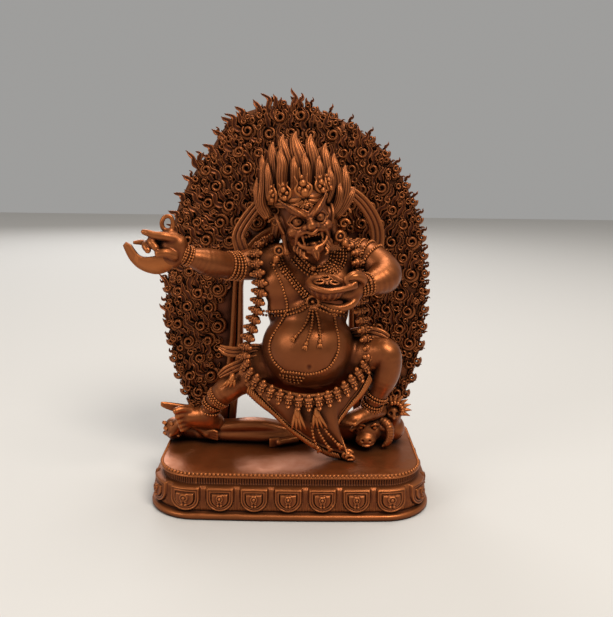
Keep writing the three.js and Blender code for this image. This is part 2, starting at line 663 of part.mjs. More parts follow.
// Horned bull-headed being under the bent leg, with a jewelled head behind it
function trampledBull() {
  return [
    limb([[24, 9, 23.6, 5, 5.4], [34, 7, 25.4, 6.6, 7], [44, 7, 24.6, 5, 6.4]], { sides: 7, rows: 3 }),
    ball([33.4, 0.6, 26], [6.4, 5.2, 6.6], { around: 7, rings: 5 }),
    ball([31.6, -3.4, 23], [4.2, 3.4, 3.6], { around: 6, rings: 4 }),
    limb([[38, 1, 31, 2.2], [42, -1.4, 28.4, 2.3], [42.4, -2.6, 23.4, 1.9], [39.4, -3, 19.6, 0.7]],
      { sides: 4, rows: 4, up: FORWARD, blunt: 0 }),
    ball([44.2, 3.6, 32], [4.6, 5, 5.4], { around: 6, rings: 5 }),
    ...[-20, 22, 64].map((degrees) => {
      const angle = THREE.MathUtils.degToRad(degrees);
      const [x, z] = [Math.cos(angle), Math.sin(angle)];
      return limb([[44.8 + 3 * x, 2, 33.4 + 3 * z, 1.6], [44.8 + 7 * x, 1.4, 33.4 + 7 * z, 0.4]],
        { sides: 4, rows: 2, up: FORWARD, blunt: 0 });
    }),
  ];
}

function protector() {
  const whole = join([
    ...trunk(), ...head(), ...knifeArm(), ...cupArm(), ...straightLeg(), ...bentLeg(),
    ...apron(), ...scarf(), ...garland(), ...trampledMan(), ...trampledBull(),
  ]);
  return whole
    .subtract(box([-80, -60, 0], [80, 60, SEAT]))
    .subtract(box([-80, BACK_LIMIT, 0], [80, 60, HEIGHT]));
}

const group = new THREE.Group();
group.add(
  mesh('lotus_plinth', lotusPlinth(), bronze(0x8a4a26, 0.42)),
  mesh('flame_halo', flameHalo(), bronze(0x5c2d1a, 0.5)),
  mesh('protector_figure', protector(), bronze(0x7a3f22, 0.42)),
);

export default group;
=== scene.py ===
"""Cast statuette of a striding two-armed protector before a halo of flames, on a lotus plinth.

Sizes in the code are in millimetres until a piece is made; pieces are made in metres.
Left and right are the viewer's, who looks along +Y.
"""

import math

import bpy
import numpy as np
import openvdb
from mathutils import Euler, Matrix, Vector


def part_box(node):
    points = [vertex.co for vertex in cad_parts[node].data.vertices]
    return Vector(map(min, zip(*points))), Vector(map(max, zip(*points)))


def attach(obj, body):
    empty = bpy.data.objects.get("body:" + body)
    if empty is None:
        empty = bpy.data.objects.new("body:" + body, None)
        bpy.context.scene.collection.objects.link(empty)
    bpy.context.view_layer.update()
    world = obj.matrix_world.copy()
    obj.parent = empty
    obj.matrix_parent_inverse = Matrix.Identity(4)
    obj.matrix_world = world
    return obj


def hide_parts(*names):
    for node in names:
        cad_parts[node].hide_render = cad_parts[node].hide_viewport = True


bl_info = {
    "name": "Flame Halo Statuette",
    "version": (1, 0, 0),
    "blender": (4, 5, 0),
    "location": "View3D > Sidebar > Statuette",
    "description": "Builds a cast protector statuette with its flame halo and lotus plinth",
    "category": "Add Mesh",
}

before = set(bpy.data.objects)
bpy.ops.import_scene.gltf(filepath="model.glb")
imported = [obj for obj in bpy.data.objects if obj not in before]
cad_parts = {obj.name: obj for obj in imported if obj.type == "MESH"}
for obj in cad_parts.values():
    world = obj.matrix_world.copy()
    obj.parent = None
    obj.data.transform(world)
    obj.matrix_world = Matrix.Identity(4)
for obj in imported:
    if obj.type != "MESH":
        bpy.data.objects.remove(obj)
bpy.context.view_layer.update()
MM = 0.001


def node_box(node):
    """Lowest and highest corner of a node, in millimetres"""
    low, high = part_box(node)
    return np.array(low) / MM, np.array(high) / MM


PLINTH_LOW, PLINTH_HIGH = node_box("lotus_plinth")
HALO_LOW, HALO_HIGH = node_box("flame_halo")
FIGURE_LOW, FIGURE_HIGH = node_box("protector_figure")
PLINTH_TOP = PLINTH_HIGH[2]
UP = np.array([0.0, 0.0, 1.0])
FRONT = np.array([0.0, -1.0, 0.0])


# Curves and skins


def unit(vectors):
    """Vectors scaled to length one"""
    vectors = np.asarray(vectors, float)
    return vectors / np.maximum(np.linalg.norm(vectors, axis=-1, keepdims=True), 1e-9)


def spline(points, count):
    """Smooth curve through rows of numbers, which may hold sizes after the coordinates"""
    rows = np.asarray(points, float)
    if len(rows) == 2:
        share = np.linspace(0, 1, count)[:, None]
        return rows[0] * (1 - share) + rows[1] * share
    padded = np.vstack([2 * rows[0] - rows[1], rows, 2 * rows[-1] - rows[-2]])
    place = np.linspace(0, len(rows) - 1, count)
    i = np.minimum(place.astype(int), len(rows) - 2)
    f = (place - i)[:, None]
    a, b, c, d = padded[i], padded[i + 1], padded[i + 2], padded[i + 3]
    return 0.5 * (2 * b + (c - a) * f + (2 * a - 5 * b + 4 * c - d) * f**2 + (3 * b - a - 3 * c + d) * f**3)


def evenly(points, count):
    """The same curve with its points an equal length apart"""
    fine = spline(points, 24 * len(points))
    steps = np.linalg.norm(np.diff(fine[:, :3], axis=0), axis=1)
    length = np.concatenate([[0], np.cumsum(steps)])
    wanted = np.linspace(0, length[-1], count)
    return np.stack([np.interp(wanted, length, column) for column in fine.T], axis=1)


def curve_length(points):
    """Length of the smooth curve through the points"""
    fine = spline(points, 24 * len(points))
    return np.linalg.norm(np.diff(fine[:, :3], axis=0), axis=1).sum()


def loop_faces(rows, columns, wrap=True):
    """Four-sided faces of a grid of points whose columns may close on themselves"""
    r = np.arange(rows - 1)[:, None]
    c = np.arange(columns if wrap else columns - 1)[None, :]
    n = (c + 1) % columns
    corners = [r * columns + c, r * columns + n, (r + 1) * columns + n, (r + 1) * columns + c]
    return np.stack(corners, axis=-1).reshape(-1, 4)


class Casting:
    """Points and faces of one piece, gathered form by form"""

    def __init__(self):
        self.points = []
        self.quads = []
        self.triangles = []
        self.count = 0

    def add(self, points, quads=(), triangles=()):
        """Adds one closed form, with its faces turned outwards"""
        points = np.asarray(points, float).reshape(-1, 3)
        quads = np.asarray(quads, int).reshape(-1, 4)
        triangles = np.asarray(triangles, int).reshape(-1, 3)
        if volume(points, quads, triangles) < 0:
            quads, triangles = quads[:, ::-1], triangles[:, ::-1]
        self.points.append(points)
        self.quads.append(quads + self.count)
        self.triangles.append(triangles + self.count)
        self.count += len(points)

    def skin(self, rings, wrap=True, ends=True):
        """Adds a closed skin over rings of points, shape (rings, corners, 3)"""
        rings = np.asarray(rings, float)
        rows, columns = rings.shape[:2]
        quads = loop_faces(rows, columns, wrap)
        if not ends:
            self.add(rings, quads)
            return
        points = np.vstack([rings.reshape(-1, 3), rings[0].mean(0), rings[-1].mean(0)])
        k = np.arange(columns)
        n = (k + 1) % columns
        last = (rows - 1) * columns
        first_cap = np.stack([n, k, np.full(columns, rows * columns)], axis=1)
        last_cap = np.stack([last + k, last + n, np.full(columns, rows * columns + 1)], axis=1)
        self.add(points, quads, np.vstack([first_cap, last_cap]))

    def sweep(self, path, sizes, section, up=UP):
        """Adds a section carried along a path. Sizes scale its two axes at each point."""
        path = np.asarray(path, float)
        sizes = np.asarray(sizes, float)
        if sizes.ndim == 1:
            sizes = np.stack([sizes, sizes], axis=1)
        along = unit(np.gradient(path, axis=0))
        side = unit(np.cross(along, up))
        lift = np.cross(side, along)
        section = np.asarray(section, float)
        across = side[:, None] * (section[None, :, :1] * sizes[:, None, :1])
        rise = lift[:, None] * (section[None, :, 1:] * sizes[:, None, 1:])
        self.skin(path[:, None] + across + rise)

    def strand(self, stations, sides=8, steps=None, up=UP, flat=1.0):
        """Adds a tapering strand through stations of [x, y, z, radius]"""
        rows = spline(stations, steps or 4 * len(stations))
        radii = np.maximum(rows[:, 3], 0.02)
        self.sweep(rows[:, :3], np.stack([radii, radii * flat], axis=1), circle(sides), up)

    def beads(self, centres, radii, stretch=(1, 1, 1)):
        """Adds round beads"""
        centres = np.asarray(centres, float)
        radii = np.broadcast_to(np.asarray(radii, float), len(centres))
        points, quads, triangles = BEAD
        shift = (np.arange(len(centres)) * len(points))[:, None, None]
        scaled = points * np.asarray(stretch, float)
        placed = centres[:, None] + scaled[None] * radii[:, None, None]
        self.add(placed, (quads[None] + shift).reshape(-1, 4), (triangles[None] + shift).reshape(-1, 3))

    def copy_in(self, other, matrix):
        """Adds another casting's forms, moved by a 4 x 4 matrix"""
        matrix = np.asarray(matrix, float)
        points, quads, triangles = other.arrays()
        self.add(points @ matrix[:3, :3].T + matrix[:3, 3], quads, triangles)

    def arrays(self):
        """Everything as one array of points, one of quads and one of triangles"""
        return np.vstack(self.points), np.vstack(self.quads), np.vstack(self.triangles)


def volume(points, quads, triangles):
    """Space inside a closed form, negative when its faces look inwards"""
    faces = np.vstack([quads[:, :3], quads[:, [0, 2, 3]], triangles])
    a, b, c = (points[faces[:, i]] - points.mean(0) for i in range(3))
    return np.einsum("ij,ij->", a, np.cross(b, c))


def circle(sides):
    """Corners of a round section of radius one"""
    angle = np.arange(sides) * 2 * np.pi / sides
    return np.stack([np.cos(angle), np.sin(angle)], axis=1)


def bead_form(around=8, rings=5):
    """Points and faces of a bead of radius one"""
    polar = np.pi * np.arange(1, rings) / rings
    angle = np.arange(around) * 2 * np.pi / around
    ring = np.stack(
        [
            np.sin(polar)[:, None] * np.cos(angle),
            np.sin(polar)[:, None] * np.sin(angle),
            np.repeat(np.cos(polar)[:, None], around, axis=1),
        ],
        axis=-1,
    ).reshape(-1, 3)
    points = np.vstack([ring, [0, 0, 1], [0, 0, -1]])
    quads = loop_faces(rings - 1, around)[:, ::-1]
    k = np.arange(around)
    n = (k + 1) % around
    last = (rings - 2) * around
    top = np.stack([k, n, np.full(around, len(ring))], axis=1)
    bottom = np.stack([last + n, last + k, np.full(around, len(ring) + 1)], axis=1)
    return points, quads, np.vstack([top, bottom])


BEAD = bead_form()


# Most triangles that each of the finer pieces keeps, with all pieces together under a million
TRIANGLE_BUDGETS = {
    "plinth_body": 110000,
    "halo_flames_left": 122000,
    "halo_flames_right": 118000,
    "halo_rim_tips": 50000,
    "protector_body": 100000,
    "protector_head": 70000,
    "flame_hair": 60000,
    "garland_of_heads": 105000,
    "bead_jewellery": 50000,
    "apron": 42000,
    "trampled_beings": 42000,
    "scarf": 22000,
    "skull_cup": 20000,
}


def thin_mesh(piece):
    """Merges triangles where a piece is smoothest, until it is within its budget"""
    piece.data.calc_loop_triangles()
    count = len(piece.data.loop_triangles)
    budget = TRIANGLE_BUDGETS.get(piece.name, count)
    if count <= budget:
        return
    thinner = piece.modifiers.new("Thinner", "DECIMATE")
    thinner.ratio = budget / count
    graph = bpy.context.evaluated_depsgraph_get()
    thinned = bpy.data.meshes.new_from_object(piece.evaluated_get(graph))
    piece.modifiers.clear()
    dense = piece.data
    piece.data = thinned
    bpy.data.meshes.remove(dense)
    thinned.name = piece.name


def make_piece(name, casting, material, node):
    """Makes the object of a casting, in metres, riding on the root body in place of a node"""
    points, quads, triangles = casting.arrays()
    mesh = bpy.data.meshes.new(name)
    mesh.vertices.add(len(points))
    mesh.vertices.foreach_set("co", (points * MM).astype(np.float32).ravel())
    corners = np.concatenate([quads.ravel(), triangles.ravel()]).astype(np.int32)
    sizes = np.concatenate([np.full(len(quads), 4), np.full(len(triangles), 3)]).astype(np.int32)
    mesh.loops.add(len(corners))
    mesh.loops.foreach_set("vertex_index", corners)
    mesh.polygons.add(len(sizes))
    mesh.polygons.foreach_set("loop_start", np.concatenate([[0], np.cumsum(sizes)[:-1]]).astype(np.int32))
    mesh.polygons.foreach_set("loop_total", sizes)
    mesh.polygons.foreach_set("use_smooth", np.ones(len(sizes), bool))
    mesh.update(calc_edges=True)
    mesh.validate()
    mesh.materials.append(material)
    piece = bpy.data.objects.new(name, mesh)
    bpy.context.scene.collection.objects.link(piece)
    thin_mesh(piece)
    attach(piece, "root")
    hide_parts(node)
    return piece


# Plinth


def plinth_outline(count):
    """Points and outward directions round the plinth's top edge, an equal length apart"""
    sizes = bpy.context.scene.plinth_sizes
    half_width, half_depth = sizes.width / 2 / MM, sizes.depth / 2 / MM
    front, back, bow = 15.0, 4.0, 1.5
    corners = [(-1, -1, front, 180), (1, -1, front, 270), (1, 1, back, 0), (-1, 1, back, 90)]
    points = []
    for x, y, radius, start in corners:
        angle = np.radians(start + np.linspace(0, 90, 40))
        points.append(
            np.stack(
                [
                    x * (half_width - radius) + radius * np.cos(angle),
                    y * (half_depth - radius) + radius * np.sin(angle),
                ],
                axis=1,
            )
        )
        if start == 180:
            across = np.linspace(-1, 1, 80)[1:-1] * (half_width - front)
            points.append(np.stack([across, np.full(len(across), -half_depth)], axis=1))
    outline = np.vstack(points + [points[0][:1]])
    bowed = np.maximum(0, 1 - (outline[:, 0] / half_width) ** 2)
    outline[:, 1] -= np.where(outline[:, 1] < 0, bow * bowed, 0)
    length = np.concatenate([[0], np.cumsum(np.linalg.norm(np.diff(outline, axis=0), axis=1))])
    middle = length[np.argmin(np.abs(outline[:, 0]) + (outline[:, 1] > 0) * 99)]
    wanted = (middle + np.arange(count) * length[-1] / count) % length[-1]
    place = np.stack([np.interp(wanted, length, outline[:, i]) for i in (0, 1)], axis=1)
    along = np.roll(place, -1, axis=0) - np.roll(place, 1, axis=0)
    along = (np.roll(along, 1, axis=0) + along + np.roll(along, -1, axis=0)) / 3
    out = unit(np.stack([along[:, 1], -along[:, 0]], axis=1))
    return place, out, length[-1]


def bump(distance, width):
    """Rounded ridge, one high in the middle and nothing past its half width"""
    return np.sqrt(np.clip(1 - (distance / width) ** 2, 0, 1))


def petal_relief(across, height, pitch):
    """How far the petal row stands out, by the distance from a petal's middle and the height"""
    half, top, middle, bottom = 5.55, 12.9, 8.4, 3.3
    lower = np.sqrt(across**2 + ((height - middle) * half / (middle - bottom)) ** 2) - half
    upper = np.maximum(np.abs(across) - half, height - top)
    inside = -np.where(height < middle, lower, upper)
    petal = np.clip(inside / 0.5, 0, 1) * 1.0
    petal += 0.75 * bump(inside - 0.62, 0.55) + 0.55 * bump(inside - 1.65, 0.5)
    panel = np.clip((inside - 2.25) / 0.35, 0, 1)
    dome = np.sqrt(np.clip(1 - (across / 4.6) ** 2 - ((height - 8.6) / 6.4) ** 2, 0, 1))
    petal += panel * (0.5 + 0.75 * dome)
    jewels = np.zeros_like(across)
    for x, z, radius in [
        (0, 11.6, 0.62), (-0.62, 10.45, 0.56), (0.62, 10.45, 0.56), (0, 8.9, 0.7),
        (-0.6, 7.3, 0.5), (0.6, 7.3, 0.5), (-0.62, 6.1, 0.52), (0.62, 6.1, 0.52),
    ]:
        jewels = np.maximum(jewels, radius * bump(np.hypot(across - x, height - z), radius * 1.15))
    ring = 0.55 * bump(np.hypot(across, height - 8.9) - 1.15, 0.32)
    petal += panel * np.maximum(jewels, ring) * 1.3
    # Between the petals a second row shows as upright flutes
    gap = pitch / 2 - np.abs(across)
    flutes = (0.35 + 0.4 * np.abs(np.cos(gap * np.pi / 0.62))) * np.clip((12.9 - height) / 0.8, 0, 1)
    flutes *= np.clip((height - 3.2) / 0.5, 0, 1)
    return np.where(inside > 0, np.maximum(petal, 0.35), flutes)


def build_plinth(material):
    """Plinth body with its relief, and the row of beads along its edge"""
    sizes = bpy.context.scene.plinth_sizes
    around = 1380
    place, out, length = plinth_outline(around)
    pitch = length / sizes.petal_count
    distance = np.arange(around) * length / around
    across = (distance + pitch / 2) % pitch - pitch / 2
    profile = [
        (0.0, 3.7), (0.15, 4.1), (0.6, 4.5), (1.2, 4.6), (1.8, 4.55), (2.3, 4.3), (2.6, 3.9), (2.75, 3.2), (2.85, 2.0),
    ]
    heights = [z for z, _ in profile] + list(np.arange(3.0, 13.01, 0.25)) + [13.1, 13.2]
    offsets = [offset for _, offset in profile]
    offsets += [1.95 - 0.085 * (z - 3.0) for z in np.arange(3.0, 13.01, 0.25)] + [0.6, 0.0]
    band = [(13.4, -0.9), (13.8, -1.0), (14.4, -1.05), (15.0, -1.05), (15.6, -1.0), (15.9, -0.8)]
    edge = [(16.05, 0.0), (16.2, 0.5), (16.5, 0.75), (16.9, 0.7), (17.2, 0.35), (17.6, 0.1), (17.85, -0.15), (18.0, -0.6)]
    heights = np.array(heights + [z for z, _ in band] + [z for z, _ in edge])
    offsets = np.array(offsets + [o for _, o in band] + [o for _, o in edge])
    relief = petal_relief(across[None, :], heights[:, None], pitch)
    relief *= ((heights > 2.9) & (heights < 13.05))[:, None]
    ribs = 0.42 * np.abs(np.sin(distance * np.pi / (length / 300)))
    relief += ribs[None, :] * ((heights > 13.3) & (heights < 15.7))[:, None]
    reach = offsets[:, None] + relief
    rings = np.empty((len(heights), around, 3))
    rings[..., :2] = place[None] + out[None] * reach[..., None]
    rings[..., 2] = heights[:, None]
    rim, centre = rings[-1], np.array([0.0, 0.0, PLINTH_TOP])
    top = np.stack([centre + (rim - centre) * share for share in (0.8, 0.5, 0.2)])
    casting = Casting()
    casting.skin(np.vstack([rings, top]))
    make_piece("plinth_body", casting, material, "lotus_plinth")

    beads = int(round(length / (2.1 * sizes.bead_radius / MM)))
    place, out, length = plinth_outline(beads)
    casting = Casting()
    centres = np.column_stack([place + out * 0.15, np.full(beads, 17.55)])
    casting.beads(centres, sizes.bead_radius / MM)
    make_piece("plinth_edge_beads", casting, material, "lotus_plinth")


# Flame halo

HALO_CENTRE = 1.5
HALO_SEAT = 18.2
HALO_TOP = 144.2
HALO_LEAN = 5.5
HALO_LEAN_START = 124
HALO_BACK = 22.1
HALO_BED = 18.6
OPENING_HALF = 23.5
OPENING_FOOT = 27.5
OPENING_SPRING = 65
BAND_WIDTH = 7.0
HALO_RIM = [
    (43, 0), (49, 16), (54, 31), (56.4, 50), (56.6, 70), (53.4, 94), (48.2, 108.5), (40.4, 121), (30, 133), (18, 140.6),
]


def halo_rim(count):
    """Points of the rim between the flame tips, from the left foot over the top to the right foot"""
    left = [(-x, 0, z) for x, z in HALO_RIM]
    right = [(x, 0, z) for x, z in reversed(HALO_RIM)]
    rim = evenly(left + [(0, 0, HALO_TOP)] + right, count)[:, [0, 2]]
    share = np.clip((rim[:, 1] - HALO_LEAN_START) / (HALO_TOP - HALO_LEAN_START), 0, 1)
    rim[:, 0] += HALO_CENTRE - HALO_LEAN * share**2 * (3 - 2 * share)
    rim[:, 1] += HALO_SEAT
    return rim


def halo_opening(count, margin=0.0):
    """Points round the opening, widened by a margin, from the left foot to the right foot"""
    share = np.linspace(0, 1, count)
    half, foot, legs = OPENING_HALF + margin, OPENING_FOOT + margin, 0.3
    side = np.sign(share - 0.5)
    up = np.minimum(share, 1 - share) / legs
    leg_x = foot + (half - foot) * np.minimum(1, up * 1.6)
    angle = np.pi * (share - legs) / (1 - 2 * legs)
    on_leg = (share < legs) | (share > 1 - legs)
    x = np.where(on_leg, side * leg_x, -half * np.cos(angle))
    z = np.where(on_leg, up * OPENING_SPRING, OPENING_SPRING + half * np.sin(angle))
    return np.stack([HALO_CENTRE + x, HALO_SEAT + z], axis=1)


def build_halo_plate(material):
    """Plate of the halo with a stepped band round its opening and a plain crowned back"""
    count = 170
    rim = halo_rim(count)
    edge = halo_opening(count)
    out = unit(rim - edge)
    reach = np.linalg.norm(rim - edge, axis=1)
    front = [
        (0.0, HALO_BACK - 0.6), (0.0, 17.9), (0.25, 17.5), (0.7, 17.3), (2.9, 17.3), (3.2, 17.6), (3.35, 18.1),
        (3.6, 18.1), (3.75, 17.2), (4.1, 16.7), (6.3, 16.6), (6.8, 16.9), (7.0, 17.5), (7.1, HALO_BED),
    ]
    rows = [(edge + out * np.minimum(d, reach)[:, None], np.full(count, y)) if np.ndim(d) else
            (edge + out * d, np.full(count, y)) for d, y in front]
    for share, y in [(0.2, HALO_BED + 0.2), (0.5, HALO_BED), (0.8, HALO_BED + 0.3), (0.96, 19.3), (1.0, 20.2), (0.97, 21.4)]:
        start = edge + out * 7.2
        rows.append((start + (rim - start) * share, np.full(count, y)))
    for share in (0.9, 0.6, 0.3, 0.1, 0.02):
        rows.append((edge + (rim - edge) * share, np.full(count, HALO_BACK + 0.1 * math.sin(math.pi * share))))
    rings = np.stack([np.column_stack([xz[:, 0], y, xz[:, 1]]) for xz, y in rows], axis=1)
    casting = Casting()
    casting.skin(rings[:, ::-1])
    make_piece("halo_plate", casting, material, "flame_halo")


CHANNEL = np.array([
    (-1.0, -0.8), (-1.05, 0.6), (-0.85, 1.0), (-0.62, 0.85), (-0.3, 0.42), (0.3, 0.42), (0.62, 0.85), (0.85, 1.0), (1.05, 0.6), (1.0, -0.8),
])
ROLL = np.array([(-1.0, -0.7), (-0.95, 0.2), (-0.5, 0.8), (0.1, 1.0), (0.6, 0.75), (1.0, 0.1), (1.0, -0.7)])


def scroll(casting, centre, start, turns, outer, inner, tube, lift=1.2):
    """Open scroll that winds inwards and stands up towards its end"""
    share = np.linspace(0, 1, int(22 * turns) + 6)
    angle = start + turns * 2 * np.pi * share
    reach = inner + (outer - inner) * (1 - share) ** 0.9
    x = centre[0] + reach * np.cos(angle)
    z = centre[1] + reach * np.sin(angle)
    y = centre[2] - lift * np.sin(np.pi * (0.15 + 0.7 * share))
    size = tube * (0.55 + 0.6 * np.sin(np.pi * (0.12 + 0.8 * share)))
    casting.sweep(np.column_stack([x, y, z]), np.column_stack([size, size * 1.7]), ROLL, FRONT)


def tongue(casting, stations, wave, phase):
    """Wavy flame tongue with raised edges, through stations of [x, y, z, half width]"""
    rows = spline(stations, 7 * len(stations))
    share = np.linspace(0, 1, len(rows))
    along = unit(np.gradient(rows[:, [0, 2]], axis=0))
    sway = wave * np.sin(phase + share * 2 * np.pi * 1.3)
    rows[:, 0] += -along[:, 1] * sway
    rows[:, 2] += along[:, 0] * sway
    width = np.maximum(rows[:, 3] * (1 + 0.16 * np.sin(phase + share * 2 * np.pi * 2.6)), 0.06)
    casting.sweep(rows[:, :3], np.column_stack([width, 0.35 + 0.55 * width]), CHANNEL, FRONT)


def flame_form(kind):
    """Cluster of flames of the halo: an open scroll on a curved lobe, with wavy tongues rising from it"""
    casting = Casting()
    angle = np.radians(np.linspace(-215, 75, 26))
    lobe = np.column_stack([3.3 * np.cos(angle), np.full(26, -0.5), 3.1 * np.sin(angle)])
    size = 1.25 * np.sin(np.pi * np.linspace(0.12, 0.93, 26)) ** 0.5
    casting.sweep(lobe, np.column_stack([size, size * 0.95]), ROLL, FRONT)
    scroll(casting, (0, 0, -0.9), np.radians(100 + 25 * (kind % 2)), 1.25 + 0.12 * kind, 2.25, 0.75, 0.62)
    shapes = [
        [(-2.6, -0.6, 1.6, 1.15), (-3.4, -1.3, 4.4, 1.2), (-2.4, -1.7, 7.2, 0.95), (-3.6, -1.5, 9.8, 0.5), (-4.4, -1.2, 11.2, 0.08)],
        [(0.2, -0.6, 2.6, 1.0), (-0.4, -1.5, 5.0, 1.1), (0.6, -1.8, 7.2, 0.8), (-0.2, -1.6, 9.2, 0.08)],
        [(2.6, -0.6, 2.2, 0.9), (2.9, -1.2, 4.2, 0.95), (2.0, -1.6, 5.8, 0.65), (2.6, -1.4, 7.2, 0.08)],
        [(-3.4, -0.5, -0.6, 0.8), (-5.0, -1.0, 1.0, 0.85), (-4.8, -1.2, 3.0, 0.6), (-5.8, -1.0, 4.4, 0.08)],
    ]
    for i, stations in enumerate(shapes[: 3 + kind % 2]):
        tongue(casting, stations, 0.32, kind * 1.7 + i * 2.1)
    scroll(casting, (2.9, 4.6 - 0.5 * kind, -1.0), np.radians(-60), 1.1, 1.15, 0.4, 0.4, 0.8)
    return casting


def small_curl(kind):
    """Small scroll with one or two short tongues, for the gaps and the rim"""
    casting = Casting()
    scroll(casting, (0, 0, -0.6), np.radians(80 + 40 * kind), 1.2, 1.5, 0.5, 0.55, 0.9)
    angle = np.radians(np.linspace(-200, 60, 16))
    lobe = np.column_stack([1.9 * np.cos(angle), np.full(16, -0.1), 1.9 * np.sin(angle)])
    casting.sweep(lobe, np.full(16, 0.75), ROLL, FRONT)
    tongue(casting, [(-1.4, -0.4, 1.0, 0.6), (-1.8, -0.9, 2.6, 0.65), (-1.2, -1.1, 3.8, 0.45), (-1.9, -0.9, 5.0, 0.06)], 0.15, kind * 2.0)
    return casting


def rim_tip(kind):
    """Pointed flame of the rim with wavy sides and a short side tongue"""
    casting = Casting()
    tongue(casting, [(0.6, 0.2, -3.0, 1.0), (0.3, -0.6, -0.8, 1.3), (0.7, -0.9, 1.2, 1.15), (-0.1, -0.8, 3.0, 0.7), (-0.9, -0.4, 4.5, 0.07)], 0.22, kind * 1.3)
    tongue(casting, [(2.0, 0.4, -2.6, 0.7), (2.4, -0.2, -0.8, 0.8), (1.9, -0.5, 0.7, 0.5), (2.3, -0.2, 1.9, 0.06)], 0.15, kind * 2.3)
    scroll(casting, (0.2, -2.4, -0.9), np.radians(60), 1.15, 1.15, 0.4, 0.45, 0.7)
    return casting


def halo_field(x, z, rim, opening):
    """Distance inside the rim and outside the opening's band"""
    point = np.array([x, z])
    to_rim = np.linalg.norm(rim - point, axis=1).min()
    inside = inside_outline(x, z, rim)
    to_band = np.linalg.norm(opening - point, axis=1).min()
    open_space = inside_outline(x, z, opening)
    return (to_rim if inside else -to_rim), (to_band if not open_space else -to_band)


def inside_outline(x, z, outline):
    """True inside a closed outline"""
    a, b = outline, np.roll(outline, -1, axis=0)
    crosses = (a[:, 1] > z) != (b[:, 1] > z)
    slope = np.where(crosses, b[:, 1] - a[:, 1], 1)
    at = a[:, 0] + (z - a[:, 1]) * (b[:, 0] - a[:, 0]) / slope
    return bool((crosses & (x < at)).sum() % 2)


def flame_direction(x, z):
    """Angle from upright, towards the left, of the flames at a place on the halo"""
    side = (x - HALO_CENTRE + 3) / 56
    return np.radians(16 - 34 * side * np.clip((z - 60) / 90 + 0.45, 0.3, 1.0))


def build_halo_flames(material):
    """Scrolled flames all over the front of the halo, in two pieces"""
    sizes = bpy.context.scene.halo_sizes
    rng = np.random.default_rng(sizes.seed)
    rim = halo_rim(160)
    opening = halo_opening(120, BAND_WIDTH)
    forms = [flame_form(kind) for kind in range(4)]
    curls = [small_curl(kind) for kind in range(3)]
    pitch = sizes.flame_pitch / MM
    halves = {"halo_flames_left": Casting(), "halo_flames_right": Casting()}
    taken = []

    def place(form, x, z, lean, scale, mirror, reach):
        half = "halo_flames_left" if x < HALO_CENTRE - 2 else "halo_flames_right"
        halves[half].copy_in(form, placed_flame(x, z, lean, scale, mirror))
        taken.append((x, z, reach))

    row, z = 0, HALO_SEAT + 4.0
    while z < HALO_HIGH[2]:
        for column in range(-9, 10):
            x = HALO_CENTRE + 1 + (column + 0.5 * (row % 2)) * pitch + rng.normal(0, 0.5)
            height = z + rng.normal(0, 0.5)
            in_rim, off_band = halo_field(x, height, rim, opening)
            if in_rim < 3.6 or off_band < 3.4:
                continue
            lean = flame_direction(x, height) + rng.normal(0, 0.2)
            mirror = -1 if x < HALO_CENTRE - 6 and rng.random() < 0.35 else 1
            place(forms[rng.integers(4)], x, height, lean, rng.uniform(0.9, 1.05), mirror, 3.4)
        z += pitch * 0.86
        row += 1
    for x, z in rng.uniform((-60, HALO_SEAT + 2), (62, HALO_HIGH[2]), (2600, 2)):
        in_rim, off_band = halo_field(x, z, rim, opening)
        if in_rim < 1.6 or off_band < 1.9 or any(math.hypot(x - a, z - b) < r + 1.15 for a, b, r in taken):
            continue
        place(curls[rng.integers(3)], x, z, flame_direction(x, z) + rng.normal(0, 0.5), rng.uniform(0.75, 1.0), 1, 1.3)
    for name, casting in halves.items():
        make_piece(name, casting, material, "flame_halo")


def build_halo_rim(material):
    """Pointed flames along the upper left of the rim and round curls along the rest of it"""
    tips = Casting()
    count = bpy.context.scene.halo_sizes.rim_tips
    fine = halo_rim(count * 2 + 1)
    pointed = [rim_tip(kind) for kind in range(3)]
    curls = [small_curl(kind) for kind in range(3)]
    for i in range(1, 2 * count, 2):
        x, z = fine[i]
        along = unit(fine[i + 1] - fine[i - 1])
        out = np.array([-along[1], along[0]])
        if x < HALO_CENTRE + 3 and z > 88:
            way = unit(out * 0.75 + np.array([-0.25, 0.75]))
            lean = math.atan2(-way[0], way[1])
            size = 0.82 + 0.22 * min(1, (z - 88) / 40)
            tips.copy_in(pointed[i % 3], placed_flame(*(fine[i] - out * 0.8), lean, size, 1))
            continue
        lean = flame_direction(x, z) + (0.35 if x < HALO_CENTRE else -0.45)
        mirror = 1 if x > HALO_CENTRE else -1
        tips.copy_in(curls[i % 3], placed_flame(*(fine[i] - out * 0.3), lean, 0.95, mirror))
        tips.copy_in(curls[(i + 1) % 3], placed_flame(*(fine[i] + along * 2.2 - out * 1.4), lean - 0.8, 0.72, -mirror))
    make_piece("halo_rim_tips", tips, material, "flame_halo")


def placed_flame(x, z, lean, scale, mirror):
    """Matrix that sets a flame on the halo's bed"""
    turn = np.array(Matrix.Rotation(-lean, 3, "Y"))
    matrix = np.eye(4)
    matrix[:3, :3] = turn @ np.diag([scale * mirror, scale, scale])
    matrix[:3, 3] = (x, HALO_BED + 0.4, z)
    return matrix


# Finishes


